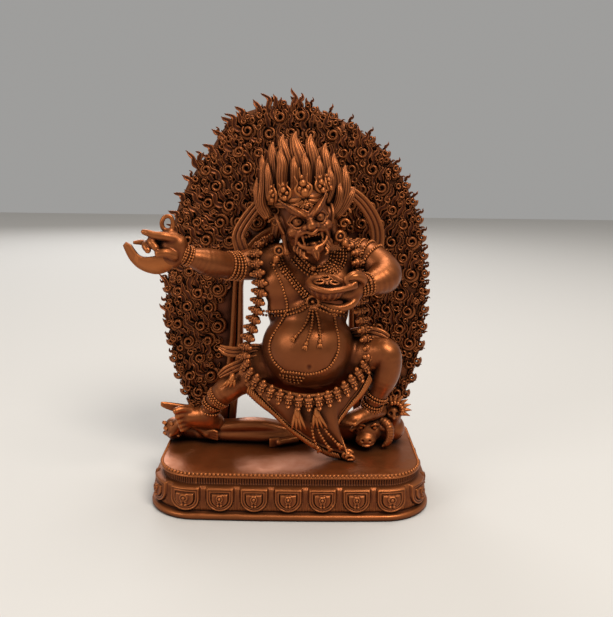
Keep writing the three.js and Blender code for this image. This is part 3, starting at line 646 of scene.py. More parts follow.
def bronze(name, shades, wear_and_highlight=1.0):
    """Patinated bronze: dark patina and painted shade in its recesses, worn bright on its raised edges, with a painted
    highlight on what faces up
    """
    finish_and_painted_light = bpy.context.scene.bronze_finish
    recess, body, bright = shades
    material = bpy.data.materials.new(name)
    material.use_nodes = True
    nodes, links = material.node_tree.nodes, material.node_tree.links
    shader = nodes["Principled BSDF"]
    shader.inputs["Metallic"].default_value = finish_and_painted_light.metallic

    def node(kind, **values):
        made = nodes.new(kind)
        for key, value in values.items():
            setattr(made, key, value)
        return made

    def ramp(source, stops):
        made = node("ShaderNodeValToRGB")
        elements = made.color_ramp.elements
        while len(elements) < len(stops):
            elements.new(0.5)
        for element, (position, colour) in zip(elements, stops):
            element.position = position
            element.color = (*colour, 1) if len(np.shape(colour)) else (colour, colour, colour, 1)
        links.new(source, made.inputs["Fac"])
        return made.outputs["Color"]

    def mix(factor, first, second, how="MIX"):
        made = node("ShaderNodeMix", data_type="RGBA", blend_type=how)
        for socket, value in ((0, factor), (6, first), (7, second)):
            if isinstance(value, bpy.types.NodeSocket):
                links.new(value, made.inputs[socket])
            elif isinstance(value, (int, float)):
                made.inputs[socket].default_value = value
            else:
                made.inputs[socket].default_value = (*value, 1)
        return made.outputs[2]

    def noise(scale, detail=4.0):
        made = node("ShaderNodeTexNoise")
        made.inputs["Scale"].default_value = scale
        made.inputs["Detail"].default_value = detail
        links.new(place.outputs["Object"], made.inputs["Vector"])
        return made.outputs["Fac"]

    place = node("ShaderNodeTexCoord")
    geometry = node("ShaderNodeNewGeometry")
    # Painted shade: ambient occlusion turns the colour towards the recess colour where neighbouring surfaces close in.
    # This stands for the dark patina in the hollows and for the shade that falls there; the same places are made
    # rougher.
    shade = node("ShaderNodeAmbientOcclusion", samples=8)
    shade.inputs["Distance"].default_value = finish_and_painted_light.patina_and_shade_reach
    clear_of_patina_and_shade = ramp(shade.outputs["AO"], [(0.25, 0.0), (0.85, 1.0)])
    patches = noise(70, 3)
    ridges = ramp(geometry.outputs["Pointiness"], [(0.49, 0.0), (0.56, 1.0)])
    grooves = ramp(geometry.outputs["Pointiness"], [(0.42, 1.0), (0.49, 0.0)])

    # Painted highlight: surfaces that face up are mixed halfway towards the worn colour, as if lit from above. Raised
    # edges found by pointiness get the same colour as real wear.
    upright = node("ShaderNodeSeparateXYZ")
    links.new(geometry.outputs["Normal"], upright.inputs[0])
    lit = ramp(upright.outputs["Z"], [(0.0, 0.0), (1.0, 1.0)])
    warm = mix(ramp(patches, [(0.35, 0.0), (0.7, 1.0)]), body, tuple(np.array(body) * (1.35, 1.25, 1.1)))
    painted_top_highlight = mix(0.5 * wear_and_highlight, warm, mix(lit, warm, bright))
    edged = mix(ramp(ridges, [(0.0, 0.0), (1.0, min(1.0, 0.8 * wear_and_highlight))]), painted_top_highlight, bright)
    grooved = mix(ramp(grooves, [(0.0, 0.0), (1.0, 0.85)]), edged, recess)
    coloured = mix(clear_of_patina_and_shade, recess, grooved)
    links.new(coloured, shader.inputs["Base Color"])

    satin = ramp(noise(240, 3), [(0.3, finish_and_painted_light.roughness - 0.06), (0.7, finish_and_painted_light.roughness + 0.1)])
    dull = mix(clear_of_patina_and_shade, (0.75, 0.75, 0.75), satin)
    links.new(dull, shader.inputs["Roughness"])
    relief = node("ShaderNodeBump")
    relief.inputs["Strength"].default_value = 0.25
    relief.inputs["Distance"].default_value = 0.00012
    links.new(noise(1400, 3), relief.inputs["Height"])
    links.new(relief.outputs["Normal"], shader.inputs["Normal"])
    return material


def finishes():
    """The three bronzes, made once"""
    finish_and_painted_light = bpy.context.scene.bronze_finish
    # Each bronze paints shade into its recesses and a highlight onto what faces up, besides its patina and its worn
    # edges.
    if "plinth_patina" not in bpy.data.materials:
        recess, body, bright = (np.array(c[:]) for c in (finish_and_painted_light.patina_and_shade_colour, finish_and_painted_light.body_colour, finish_and_painted_light.wear_and_highlight_colour))
        bronze("plinth_patina", (recess, body * 1.25, bright), 0.8)
        bronze("halo_patina", (recess, body, bright * 0.7), 0.7)
        bronze("figure_patina", (recess, body, bright))
    return {slot: bpy.data.materials[f"{slot}_patina"] for slot in ("plinth", "halo", "figure")}


# Modelling clay: a block of voxels that holds the distance to a surface


class Clay:
    """Block of voxels with the distance to a surface in millimetres, negative inside"""

    def __init__(self, low, high, step):
        self.low = np.asarray(low, float)
        self.step = step
        self.shape = np.ceil((np.asarray(high, float) - self.low) / step).astype(int) + 1
        self.field = np.full(self.shape, 6.0, np.float32)

    def window(self, low, high):
        """Slices and coordinates of the voxels between two corners"""
        start = np.clip(np.floor((np.asarray(low) - self.low) / self.step).astype(int), 0, self.shape - 1)
        stop = np.clip(np.ceil((np.asarray(high) - self.low) / self.step).astype(int) + 1, start + 1, self.shape)
        slices = tuple(slice(a, b) for a, b in zip(start, stop))
        axes = [np.arange(a, b, dtype=np.float32) * self.step + np.float32(l) for a, b, l in zip(start, stop, self.low)]
        return slices, (axes[0][:, None, None], axes[1][None, :, None], axes[2][None, None, :])

    def press(self, slices, distance, blend=0.0, cut=False):
        """Joins a form to the clay, or cuts it away, with a rounded seam"""
        old = self.field[slices]
        if cut:
            distance = -distance
            old, distance = -old, -distance
        if blend > 0:
            h = np.maximum(blend - np.abs(old - distance), 0) / blend
            new = np.minimum(old, distance) - h * h * blend * 0.25
        else:
            new = np.minimum(old, distance)
        self.field[slices] = -new if cut else new

    def ball(self, centre, radii, turn=None, blend=0.0, cut=False):
        """Ball or egg, turned by a 3 x 3 matrix"""
        radii = np.broadcast_to(np.asarray(radii, float), 3)
        reach = radii.max() + blend + 2 * self.step
        slices, (x, y, z) = self.window(np.asarray(centre) - reach, np.asarray(centre) + reach)
        x, y, z = x - centre[0], y - centre[1], z - centre[2]
        if turn is not None:
            m = np.asarray(turn, float).T
            x, y, z = (m[i, 0] * x + m[i, 1] * y + m[i, 2] * z for i in range(3))
        near = np.sqrt((x / radii[0]) ** 2 + (y / radii[1]) ** 2 + (z / radii[2]) ** 2)
        far = np.sqrt((x / radii[0] ** 2) ** 2 + (y / radii[1] ** 2) ** 2 + (z / radii[2] ** 2) ** 2)
        distance = near * (near - 1) / np.maximum(far, 1e-6)
        self.press(slices, distance.astype(np.float32), blend, cut)

    def limb(self, stations, blend=0.0, cut=False, flat=None, fine=3):
        """Smooth limb through stations of [x, y, z, radius]. flat = (axis, share) thins it along an axis."""
        rows = spline(stations, fine * (len(stations) - 1) + 1)
        centres, radii = rows[:, :3].copy(), rows[:, 3]
        reach = radii.max() + blend + 2 * self.step
        slices, grid = self.window(centres.min(0) - reach, centres.max(0) + reach)
        size = [np.size(axis) for axis in grid]
        distance = np.full(size, 9.0, np.float32)
        squeeze = np.ones(3)
        if flat:
            squeeze[flat[0]] = 1 / flat[1]
        origin = [float(axis.ravel()[0]) for axis in grid]
        for (a, ra), (b, rb) in zip(zip(centres[:-1], radii[:-1]), zip(centres[1:], radii[1:])):
            big = max(ra, rb) + blend + 2 * self.step
            low, high = np.minimum(a, b) - big, np.maximum(a, b) + big
            start = [int(np.clip((low[i] - origin[i]) // self.step, 0, size[i] - 1)) for i in range(3)]
            stop = [int(np.clip((high[i] - origin[i]) // self.step + 2, start[i] + 1, size[i])) for i in range(3)]
            part = tuple(slice(s, e) for s, e in zip(start, stop))
            x, y, z = grid[0][part[0]], grid[1][:, part[1]], grid[2][:, :, part[2]]
            px, py, pz = (x - a[0]) * squeeze[0], (y - a[1]) * squeeze[1], (z - a[2]) * squeeze[2]
            d = (b - a) * squeeze
            share = np.clip((px * d[0] + py * d[1] + pz * d[2]) / max(d @ d, 1e-9), 0, 1)
            gap = np.sqrt((px - share * d[0]) ** 2 + (py - share * d[1]) ** 2 + (pz - share * d[2]) ** 2)
            distance[part] = np.minimum(distance[part], (gap - (ra + share * (rb - ra))) / squeeze.max())
        self.press(slices, distance, blend, cut)

    def hoop(self, centre, radius, thickness, turn=None, blend=0.0, stretch=1.0):
        """Ring round the local y axis, stretched along z"""
        reach = (radius + thickness) * max(1, stretch) + blend + 2 * self.step
        slices, (x, y, z) = self.window(np.asarray(centre) - reach, np.asarray(centre) + reach)
        x, y, z = x - centre[0], y - centre[1], z - centre[2]
        if turn is not None:
            m = np.asarray(turn, float).T
            x, y, z = (m[i, 0] * x + m[i, 1] * y + m[i, 2] * z for i in range(3))
        distance = np.sqrt((np.sqrt(x**2 + (z / stretch) ** 2) - radius) ** 2 + y**2) - thickness
        self.press(slices, distance.astype(np.float32), blend)

    def trim_below(self, height):
        """Cuts away everything below a height"""
        z = self.low[2] + np.arange(self.shape[2]) * self.step
        self.field = np.maximum(self.field, (height - z).astype(np.float32)[None, None, :])

    def trim_behind(self, depth):
        """Cuts away everything behind a plane"""
        y = self.low[1] + np.arange(self.shape[1]) * self.step
        self.field = np.maximum(self.field, (y - depth).astype(np.float32)[None, :, None])

    def sight(self, rows, plane, gap=0.0):
        """Points of the surface seen from the viewer's eye at [x, z] in the upright plane at a depth"""
        aim = seen(rows, plane, plane)[:, :3]
        way = unit(aim - EYE)
        near = (self.low[1] - EYE[1]) / way[:, 1]
        reach = np.arange(0, (self.shape[1] - 1) * self.step * 1.05, self.step * 0.5)
        points = EYE + way[:, None] * (near[:, None] + reach)[..., None]
        index = np.round((points - self.low) / self.step).astype(int)
        inside_block = ((index >= 0) & (index < self.shape)).all(axis=-1)
        index = np.clip(index, 0, np.array(self.shape) - 1)
        values = self.field[index[..., 0], index[..., 1], index[..., 2]]
        hit = (values < 0) & inside_block
        first = np.argmax(hit, axis=1)
        found = hit.any(axis=1)
        distance = near + reach[first]
        if not found.all():
            order = np.arange(len(found))
            known = order[found] if found.any() else order
            distance = np.interp(order, known, distance[known])
        padded = np.concatenate([distance[:1], distance, distance[-1:]])
        distance = np.minimum(distance, (padded[:-2] + padded[1:-1] + padded[2:]) / 3)
        return EYE + way * (distance - gap)[:, None]

    def casting(self):
        """Surface of the clay as a casting"""
        grid = openvdb.FloatGrid()
        field = np.clip(self.field, -3, 3)
        for axis in range(3):
            ends = [slice(None)] * 3
            for end in (0, -1):
                ends[axis] = end
                field[tuple(ends)] = np.maximum(field[tuple(ends)], 0.4)
        grid.copyFromArray(field.astype(np.float32))
        points, quads = grid.convertToQuads(isovalue=0)
        made = Casting()
        made.add(points * self.step + self.low, quads[:, ::-1].astype(np.int64))
        return made


EYE = np.array((3.7, -307.0, 139.7))


def seen(rows, plane, depth):
    """Rows of [x, z, sizes] seen in the upright plane at one depth, moved along the line of sight to another"""
    rows = np.atleast_2d(np.asarray(rows, float))
    depth = np.broadcast_to(np.asarray(depth, float), len(rows))
    share = ((depth - EYE[1]) / (plane - EYE[1]))[:, None]
    x = EYE[0] + (rows[:, :1] - EYE[0]) * share
    z = EYE[2] + (rows[:, 1:2] - EYE[2]) * share
    return np.hstack([x, depth[:, None], z, rows[:, 2:]])


def turned(x=0.0, y=0.0, z=0.0):
    """3 x 3 matrix of turns about the axes, in degrees"""
    return np.array(Euler([math.radians(v) for v in (x, y, z)]).to_matrix())


# Figure: body

SEAT = 18.1
BACK_LIMIT = 15.4


def clay_body():
    """Trunk, arms, hands, legs and feet"""
    clay = Clay((-64, -32, 17), (50, 16, 121), bpy.context.scene.figure_sizes.body_grain / MM)
    clay.ball((6, 5, 49), (20, 10.4, 12))
    clay.ball((6.6, 3.6, 78), (17.2, 11, 15), blend=6)
    clay.ball((6.2, 2, 91), (18.6, 10.6, 10.6), blend=5)
    clay.limb([(-9, 1, 98, 7.4), (6, 1.6, 99.4, 8), (21, 1, 99.6, 7.4)], blend=4)
    clay.limb([(6, -0.6, 99, 8), (5.6, -5, 110, 7)], blend=3)
    clay.ball((7, -2.5, 63), (19.5, 17, 17), blend=1.5)
    for centre in ((-4, -6, 90), (15.4, -6, 91)):
        clay.ball(centre, (9, 5.8, 8), blend=2.5)
    clay.limb([(-7, -6, 80.4, 2.4), (6.8, -9, 79.4, 2.6), (20, -5, 80.4, 2.4)], blend=5)
    clay.ball((7.2, -20.2, 58.6), (1.1, 1.8, 1.3), blend=0.8, cut=True)
    knife_arm(clay)
    cup_arm(clay)
    straight_leg(clay)
    bent_leg(clay)
    clay.trim_below(SEAT)
    clay.trim_behind(BACK_LIMIT)
    return clay


def knife_arm(clay):
    """Outstretched arm on the left, with its fist"""
    clay.limb(
        [
            (-8, 1, 98, 7.4), (-15, -0.5, 97.6, 6.8), (-20, -3, 97.1, 6), (-24, -6, 97.2, 5.1), (-28.5, -9.6, 98.3, 5.5),
            (-33, -13, 99.7, 5.5), (-36.8, -16, 101.2, 4.4), (-39.8, -18, 102.5, 3.4), (-43.4, -19.6, 104.2, 3.6),
        ],
        blend=2,
    )
    clay.ball((-46.4, -20.6, 104.4), (5, 3.8, 6.4), turned(y=-12), blend=1.5)
    clay.ball((-43.4, -20.6, 107.4), (3.4, 3.2, 3.8), blend=1.5)
    fingers = [
        [(-44.4, -21.6, 109.6, 2.0), (-48, -23.2, 110.6, 1.9), (-51.6, -23.8, 111, 1.6), (-54, -23.8, 111.8, 1.35), (-56, -23.6, 112.3, 1.1)],
        [(-48.6, -19.6, 109, 1.8), (-52.4, -20.8, 109.4, 1.7), (-53.4, -23.8, 108.6, 1.6), (-51.4, -25.2, 106.6, 1.4)],
        [(-48.8, -19.4, 106, 1.8), (-53.6, -20.6, 107.6, 1.6), (-55.6, -23.2, 107.2, 1.5), (-54.4, -24.8, 105.4, 1.2)],
        [(-49, -19, 104.6, 1.5), (-54.6, -20, 107, 1.3), (-57.4, -20.8, 108, 1.1), (-60, -21.4, 108, 0.8)],
        [(-45, -23.4, 103.4, 2.1), (-47.6, -25.2, 104.6, 1.8), (-50.4, -25.8, 104.4, 1.4)],
    ]
    for finger in fingers:
        clay.limb(finger, blend=0.6)
    clay.limb([(-44.6, -20.8, 110, 1.9), (-46.4, -21, 112.4, 1.5)], blend=1)
    loop = [
        (-45.8, -21, 112.6, 1.0), (-48.6, -21.2, 113.0, 0.95), (-49.6, -21.2, 115.4, 0.9), (-48.4, -21.1, 117.8, 0.85),
        (-46.2, -21, 117.9, 0.85), (-45.4, -20.9, 115.4, 0.9), (-45.8, -21, 112.6, 1.0),
    ]
    clay.limb(loop, blend=0.3, fine=6)


def cup_arm(clay):
    """Bent arm on the right, with its palm up under the cup"""
    clay.limb(
        [
            (18, 1, 99, 7.4), (25, 0, 101, 7), (31, -3, 100.8, 6.6), (36.4, -7.4, 96.6, 6.9), (36.6, -11.4, 94.4, 6.6),
            (33, -15.4, 93, 5.2), (29.2, -18, 92.3, 3.7), (25.4, -19.8, 91.4, 3.6),
        ],
        blend=2,
    )
    clay.ball((20.6, -20.4, 89.4), (6.2, 3.4, 3.4), turned(y=12), blend=1.5)
    fingers = [
        [(25.6, -19.4, 89.4, 2.2), (23.4, -22.6, 85.6, 1.7), (19, -24, 84, 1.5), (14.6, -24.4, 84.8, 1.3), (11.4, -24, 85.6, 0.9)],
        [(24, -18, 88, 2), (20.6, -20.8, 83.8, 1.6), (15.4, -21.4, 82.8, 1.4), (10.6, -20.8, 83.8, 1)],
        [(26.4, -20.6, 92.6, 2), (27.4, -23.6, 95, 1.7), (24.4, -26, 96.6, 1.5), (20.6, -26.8, 96, 1.2)],
        [(17, -20.6, 88, 1.9), (12.4, -22, 88.2, 1.5), (9, -23.6, 89.2, 1.1)],
    ]
    for finger in fingers:
        clay.limb(finger, blend=0.7)


def straight_leg(clay):
    """Leg on the left, stretched out to the side, with its toes one above the other"""
    clay.limb(
        [
            (-4, 4, 54, 12), (-12, 2.5, 52.6, 9.6), (-18.5, 1.4, 49, 7.3), (-23.4, 0.8, 45.8, 5.6), (-27.4, 0.6, 43, 5.7),
            (-31.4, 1, 39.2, 4.5), (-34.2, 1.6, 36, 3.6), (-35.4, 3, 31, 3.8),
        ],
        blend=2,
    )
    clay.limb([(-33.4, 4.6, 27.2, 4.2), (-37.4, 2.4, 29.2, 4.7), (-41.4, 0, 30.6, 4.5), (-44, -1.6, 31, 3.6)], blend=2, flat=(1, 0.8))
    for i, (height, radius) in enumerate([(35.4, 1.55), (32.9, 1.35), (30.7, 1.25), (28.7, 1.15), (26.9, 1.05)]):
        start = (-43, -1.2, 30.8 + (height - 30.8) * 0.75, radius * 1.1)
        middle = (-46.2 + 0.35 * i, -3.2, height, radius)
        end = (-48.6 + 0.6 * i, -4.6, height - 0.3, radius * 0.95)
        clay.limb([start, middle, end], blend=0.7)


def bent_leg(clay):
    """Leg on the right, sharply bent, with its foot turned to the front"""
    clay.limb(
        [
            (14, 4, 53, 12), (22, 1.4, 56, 10), (29, -2.4, 59.4, 8.6), (35, -6, 62, 7.2), (38.8, -8.4, 62, 6.1),
            (39.8, -8.6, 57.6, 5.6), (39, -7.8, 52.4, 5.4), (37.2, -6, 46.6, 4.6), (34.8, -4.4, 40.4, 3.8), (33.8, -2.4, 36.4, 4),
        ],
        blend=2.2,
    )
    clay.limb([(37.4, 1, 34.2, 3.8), (33.4, -2.4, 34.6, 4.3), (29.4, -5.6, 34.4, 4.3), (26.4, -7.8, 34, 3.6)], blend=2, flat=(2, 0.75))
    for i in range(5):
        across = i - 2
        radius = 1.5 - 0.1 * i
        start = (26.6 + 1.35 * across, -7.4 - 0.9 * across, 34.2, radius)
        end = (23.4 + 1.5 * across, -11 - 0.8 * across, 33, radius * 0.95)
        clay.limb([start, end], blend=0.7)


# Figure: head. The face is shaped upright round its own centre and then tilted and turned.

HEAD_CENTRE = np.array((5.0, -8.5, 116.0))
HEAD_TURN = turned(y=-12) @ turned(z=9)


def on_head(points):
    """Rows of [x, y, z, sizes] from the upright head to its place"""
    rows = np.atleast_2d(np.asarray(points, float))
    placed = rows[:, :3] @ HEAD_TURN.T + HEAD_CENTRE
    return np.hstack([placed, rows[:, 3:]])


def clay_head():
    """Skull, jaw, wrathful face and ears"""
    clay = Clay((-14, -27, 94), (24, 6, 134), bpy.context.scene.figure_sizes.head_grain / MM)

    def ball(centre, radii, turn=None, **how):
        turn = HEAD_TURN if turn is None else HEAD_TURN @ turn
        clay.ball(on_head(centre)[0], radii, turn, **how)

    def limb(stations, **how):
        clay.limb(on_head(stations), **how)

    ball((0, 0, 1.5), (9.6, 10.2, 12))
    ball((0, -2.2, -6.8), (8.2, 7.6, 7.2), blend=3)
    ball((0, -6.6, 7.4), (7.4, 4, 3.6), blend=2)
    for side in (-1, 1):
        ball((side * 6, -7.4, -2.6), (3, 2.9, 2.5), blend=1.4)
        ball((side * 4.3, -9.8, 1.2), (3, 2.4, 2.5), blend=0.8, cut=True)
        ball((side * 4.2, -8.9, 1.0), (2.1, 2.1, 2.1))
        for grow, depth in ((0.0, 0.0), (0.95, -0.35)):
            upper = [
                (side * (1.5 - grow), -10.2 - depth, 0.5, 0.42), (side * 3.2, -11.2 - depth, 2.9 + grow, 0.5),
                (side * 5.6, -10.1 - depth, 3.1 + grow, 0.5), (side * (7.2 + grow), -8 - depth, 1.4, 0.35),
            ]
            lower = [
                (side * (1.5 - grow), -10.2 - depth, 0.4, 0.35), (side * 3.5, -10.9 - depth, -1.2 - grow, 0.45),
                (side * 5.7, -9.8 - depth, -1.1 - grow, 0.42), (side * (7.2 + grow), -8 - depth, 1.1, 0.3),
            ]
            limb(upper, blend=0.2, fine=5)
            limb(lower, blend=0.2, fine=5)
        ball((side * 4.0, -11.05, 0.9), (0.6, 0.5, 0.6), blend=0.2, cut=True)
        brow = [(side * 1.0, -11.7, 2.6, 1.2), (side * 3.2, -11.8, 4.2, 1.5), (side * 6, -10.0, 6.4, 1.5), (side * 8.8, -6.4, 9.8, 0.6)]
        limb(brow, blend=0.6)
        along = spline(brow, 11)[1:]
        for i, (x, y, z, r) in enumerate(along):
            limb([(x - side * 0.5, y - 0.5 * r, z - 0.9 * r, 0.34), (x, y - 1.05 * r, z, 0.4), (x + side * 0.9, y - 0.5 * r, z + 1.0 * r, 0.3)], fine=4)
        ball((side * 2.0, -11.8, -1.6), (1.6, 1.4, 1.3), blend=0.7)
        ball((side * 1.6, -12.9, -2.5), (0.65, 0.9, 0.5), blend=0.3, cut=True)
        limb([(side * 3, -11, -2.4, 0.8), (side * 5.4, -9.6, -3.9, 0.9), (side * 6.6, -7.8, -7.4, 0.6)], blend=0.6)
        limb([(side * 1.4, -10.9, 4.6, 0.5), (side * 2.3, -10.4, 7.4, 0.45), (side * 1.2, -10.4, 9.4, 0.3)], blend=0.5)
    limb([(0, -10.6, 2.2, 1.3), (0, -12.1, 0.4, 1.4), (0, -13.1, -1.2, 1.9)], blend=0.8)
    for bridge in (1.0, 2.0, 3.0):
        limb([(-1.3, -11.2, bridge, 0.3), (0, -12.3 + bridge * 0.2, bridge + 0.35, 0.38), (1.3, -11.2, bridge, 0.3)], blend=0.2)
    ball((0, -10.3, 6.0), (2.1, 1.4, 2.3), blend=0.4, cut=True)
    ball((0, -9.9, 6.0), (1.4, 1.5, 1.5))
    for side in (-1, 1):
        limb([(0, -11.2, 3.9, 0.35), (side * 1.9, -10.9, 5.8, 0.4), (0.0, -10.9, 8.6, 0.35)], blend=0.2, fine=5)
    mouth(limb, ball)
    ears(limb, ball)
    return clay


def mouth(limb, ball):
    """Open mouth with teeth, fangs and tongue, and the small beard"""
    ball((0, -10.2, -6.6), (5, 4.8, 3.2), blend=0.5, cut=True)
    upper = [
        (-6.2, -7.8, -5.4, 0.6), (-4.4, -10.2, -3.9, 0.8), (-2.2, -11.7, -3.3, 0.75), (0, -12.3, -4.2, 0.95),
        (2.2, -11.7, -3.3, 0.75), (4.4, -10.2, -3.9, 0.8), (6.2, -7.8, -5.4, 0.6),
    ]
    limb(upper, blend=0.3, fine=6)
    lower = [(-6.2, -7.8, -5.6, 0.6), (-5, -9.4, -8.2, 0.8), (-2.6, -10.8, -9.6, 0.9), (0, -11.3, -9.9, 1.0)]
    limb(lower + [(-x, y, z, r) for x, y, z, r in reversed(lower[:-1])], blend=0.3, fine=6)
    limb([(0, -6.4, -8.4, 2.2), (0, -9.2, -8.6, 1.9), (0, -10.9, -8.2, 1.0)], blend=0.3, flat=(2, 0.55))
    for i in range(-3, 4):
        ball((i * 1.2, -10.9 + 0.17 * i * i, -4.9 - 0.05 * i * i), (0.62, 0.6, 0.85))
        ball((i * 1.2, -9.9 + 0.14 * i * i, -8.8 + 0.1 * i * i), (0.62, 0.6, 0.75))
    for side in (-1, 1):
        limb([(side * 3.7, -10.2, -4.8, 0.75), (side * 3.9, -10.8, -7.4, 0.15)])
        limb([(side * 3.5, -9.8, -8.8, 0.75), (side * 3.6, -10.4, -6.4, 0.15)])
        for row in range(4):
            start = (side * (6.4 - 0.7 * row), -6.8 - 0.9 * row, -7.6 - 1.2 * row, 0.75)
            bend = (side * (7.4 - 0.9 * row), -6.8 - 1.1 * row, -9.4 - 1.1 * row, 0.7)
            tip = (side * (6.4 - 1.0 * row), -7.6 - 1.1 * row, -10.8 - 0.9 * row, 0.25)
            limb([start, bend, tip], blend=0.2, fine=5)
    limb([(-2.4, -10.4, -10.8, 1.1), (0, -11, -11.4, 1.4), (2.4, -10.4, -10.8, 1.1)], blend=0.5)
    limb([(0, -11, -11.2, 1.9), (0, -11.6, -13.2, 1.3), (0, -11.8, -15, 0.3)], blend=0.4)
    for side in (-1, 1):
        limb([(side * 0.7, -12.2, -10.9, 0.35), (side * 0.6, -12.8, -12.8, 0.35), (side * 0.15, -12.4, -14.8, 0.2)])


def ears(limb, ball):
    """Long ears with curled rims"""
    for side in (-1, 1):
        ball((side * 9.6, -1.2, -0.6), (1.4, 2.6, 4.6), blend=0.6)
        rim = [
            (side * 9.8, -3.4, -2.6, 0.6), (side * 10.9, -3.2, 1.4, 0.75), (side * 11.2, -0.8, 4.2, 0.8), (side * 10.8, 1.4, 2.6, 0.75),
            (side * 10.2, 1.2, -1.4, 0.7), (side * 9.8, -0.6, -5.4, 0.8),
        ]
        limb(rim, blend=0.3, fine=6)
        ball((side * 10.9, -1.2, 0.6), (1, 1.3, 2.2), blend=0.3, cut=True)
        limb([(side * 9.6, -1.4, -4.4, 1.3), (side * 10, -2, -8, 1.1), (side * 10, -2.6, -10.4, 1.4)], blend=0.5)


CLAY = {}


def shaped(name):
    """Clay of a part of the figure, made once"""
    if name not in CLAY:
        CLAY[name] = {"body": clay_body, "head": clay_head}[name]()
    return CLAY[name]


def build_body(material):
    """Body and head"""
    make_piece("protector_body", shaped("body").casting(), material, "protector_figure")
    make_piece("protector_head", shaped("head").casting(), material, "protector_figure")


# Figure: hair and crown

LOCKS = [
    [(-14.2, 132.6, 0.2), (-14.6, 129, 1.0), (-14.2, 125, 1.3), (-12.8, 120.5, 1.5), (-10, 117, 1.5)],
    [(-12.2, 141.4, 0.2), (-12.2, 138.6, 1.1), (-11.6, 133.5, 1.5), (-11.8, 128, 1.8), (-12, 122.5, 1.9), (-9.5, 117, 1.8)],
    [(-8, 146.4, 0.2), (-8.4, 143.6, 1.4), (-7.6, 139.5, 1.9), (-7.2, 134.5, 2.1), (-7.6, 129, 2.0), (-8.4, 122, 1.8)],
    [(-4, 149.3, 0.2), (-4.6, 146.6, 1.4), (-3.4, 142.5, 2.1), (-2, 137.5, 2.3), (-2, 131, 2.1), (-3, 124, 1.8)],
    [(1, 150.6, 0.2), (0.2, 147.6, 1.6), (1.2, 143.6, 2.7), (2.8, 139, 3.0), (3.6, 133, 2.7), (3.2, 126, 2.2)],
    [(6.8, 149.6, 0.2), (6.2, 146.6, 1.6), (7.2, 142.4, 2.4), (8.2, 137.6, 2.6), (7.8, 132, 2.4), (7, 126, 2.0)],
    [(12.4, 146.2, 0.2), (12, 143.4, 1.5), (12.6, 139.4, 2.2), (13.2, 134.6, 2.4), (12.4, 129, 2.2), (11, 123, 1.8)],
    [(15.9, 142.4, 0.2), (15.7, 139.8, 1.3), (16.6, 136, 1.9), (17.4, 131, 2.2), (16.8, 125.6, 2.0), (14.6, 120.5, 1.7)],
    [(20.4, 138, 0.2), (20, 135.2, 1.4), (20.6, 131.2, 2.0), (20.2, 126.6, 2.1), (18.4, 121.6, 1.8), (15.4, 117.6, 1.5)],
    [(24, 129.6, 0.2), (23.2, 127.4, 1.4), (21.8, 124.6, 1.7), (19.8, 121, 1.5), (16.6, 117, 1.3)],
]
FRONT_LOCKS = [
    [(-10, 138.4, 0.2), (-10.2, 136, 1.0), (-9.6, 132, 1.4), (-9.4, 128, 1.5), (-8.8, 124, 1.4)],
    [(-4.8, 144.3, 0.2), (-5.2, 141.4, 1.4), (-4.4, 137.4, 2.0), (-4.6, 133, 2.1), (-4.4, 127.4, 1.8)],
    [(0.6, 141.6, 0.2), (0, 139, 1.1), (0.4, 136, 1.6), (0.6, 131, 1.7), (0.4, 127, 1.5)],
    [(4.6, 142.6, 0.2), (4.2, 140.4, 1.2), (5, 137.2, 1.7), (5.4, 132.4, 1.8), (5, 127, 1.5)],
    [(10.2, 141.4, 0.2), (9.8, 139.2, 1.2), (10.4, 135.6, 1.7), (10.4, 131, 1.8), (9.4, 126, 1.5)],
    [(14.4, 137.4, 0.2), (14.1, 135.4, 1.1), (14.8, 132, 1.6), (14.4, 127.6, 1.7), (13, 123, 1.4)],
    [(18.6, 131.4, 0.2), (18.2, 129.4, 1.1), (18.3, 126.4, 1.5), (17.4, 122.6, 1.5), (15.4, 119, 1.3)],
]


def flame_lock(casting, stations, tip_depth, root_depth, thickness=0.7, grooves=11):
    """One flame-like lock of hair, from its tip down, with fine grooves along it"""
    rows = spline(stations, 6 * len(stations))
    share = np.linspace(0, 1, len(rows))
    depth = tip_depth + (root_depth - tip_depth) * share - 0.8 * np.sin(np.pi * share)
    path = seen(rows, -8.0, depth)
    width = np.maximum(path[:, 3], 0.12)
    angle = np.arange(4 * grooves) * 2 * np.pi / (4 * grooves)
    ridged = 1 + 0.1 * np.cos(angle * grooves)
    section = np.column_stack([np.cos(angle) * ridged, np.sin(angle) * ridged])
    casting.sweep(path[:, :3], np.column_stack([width, width * thickness]), section, FRONT)


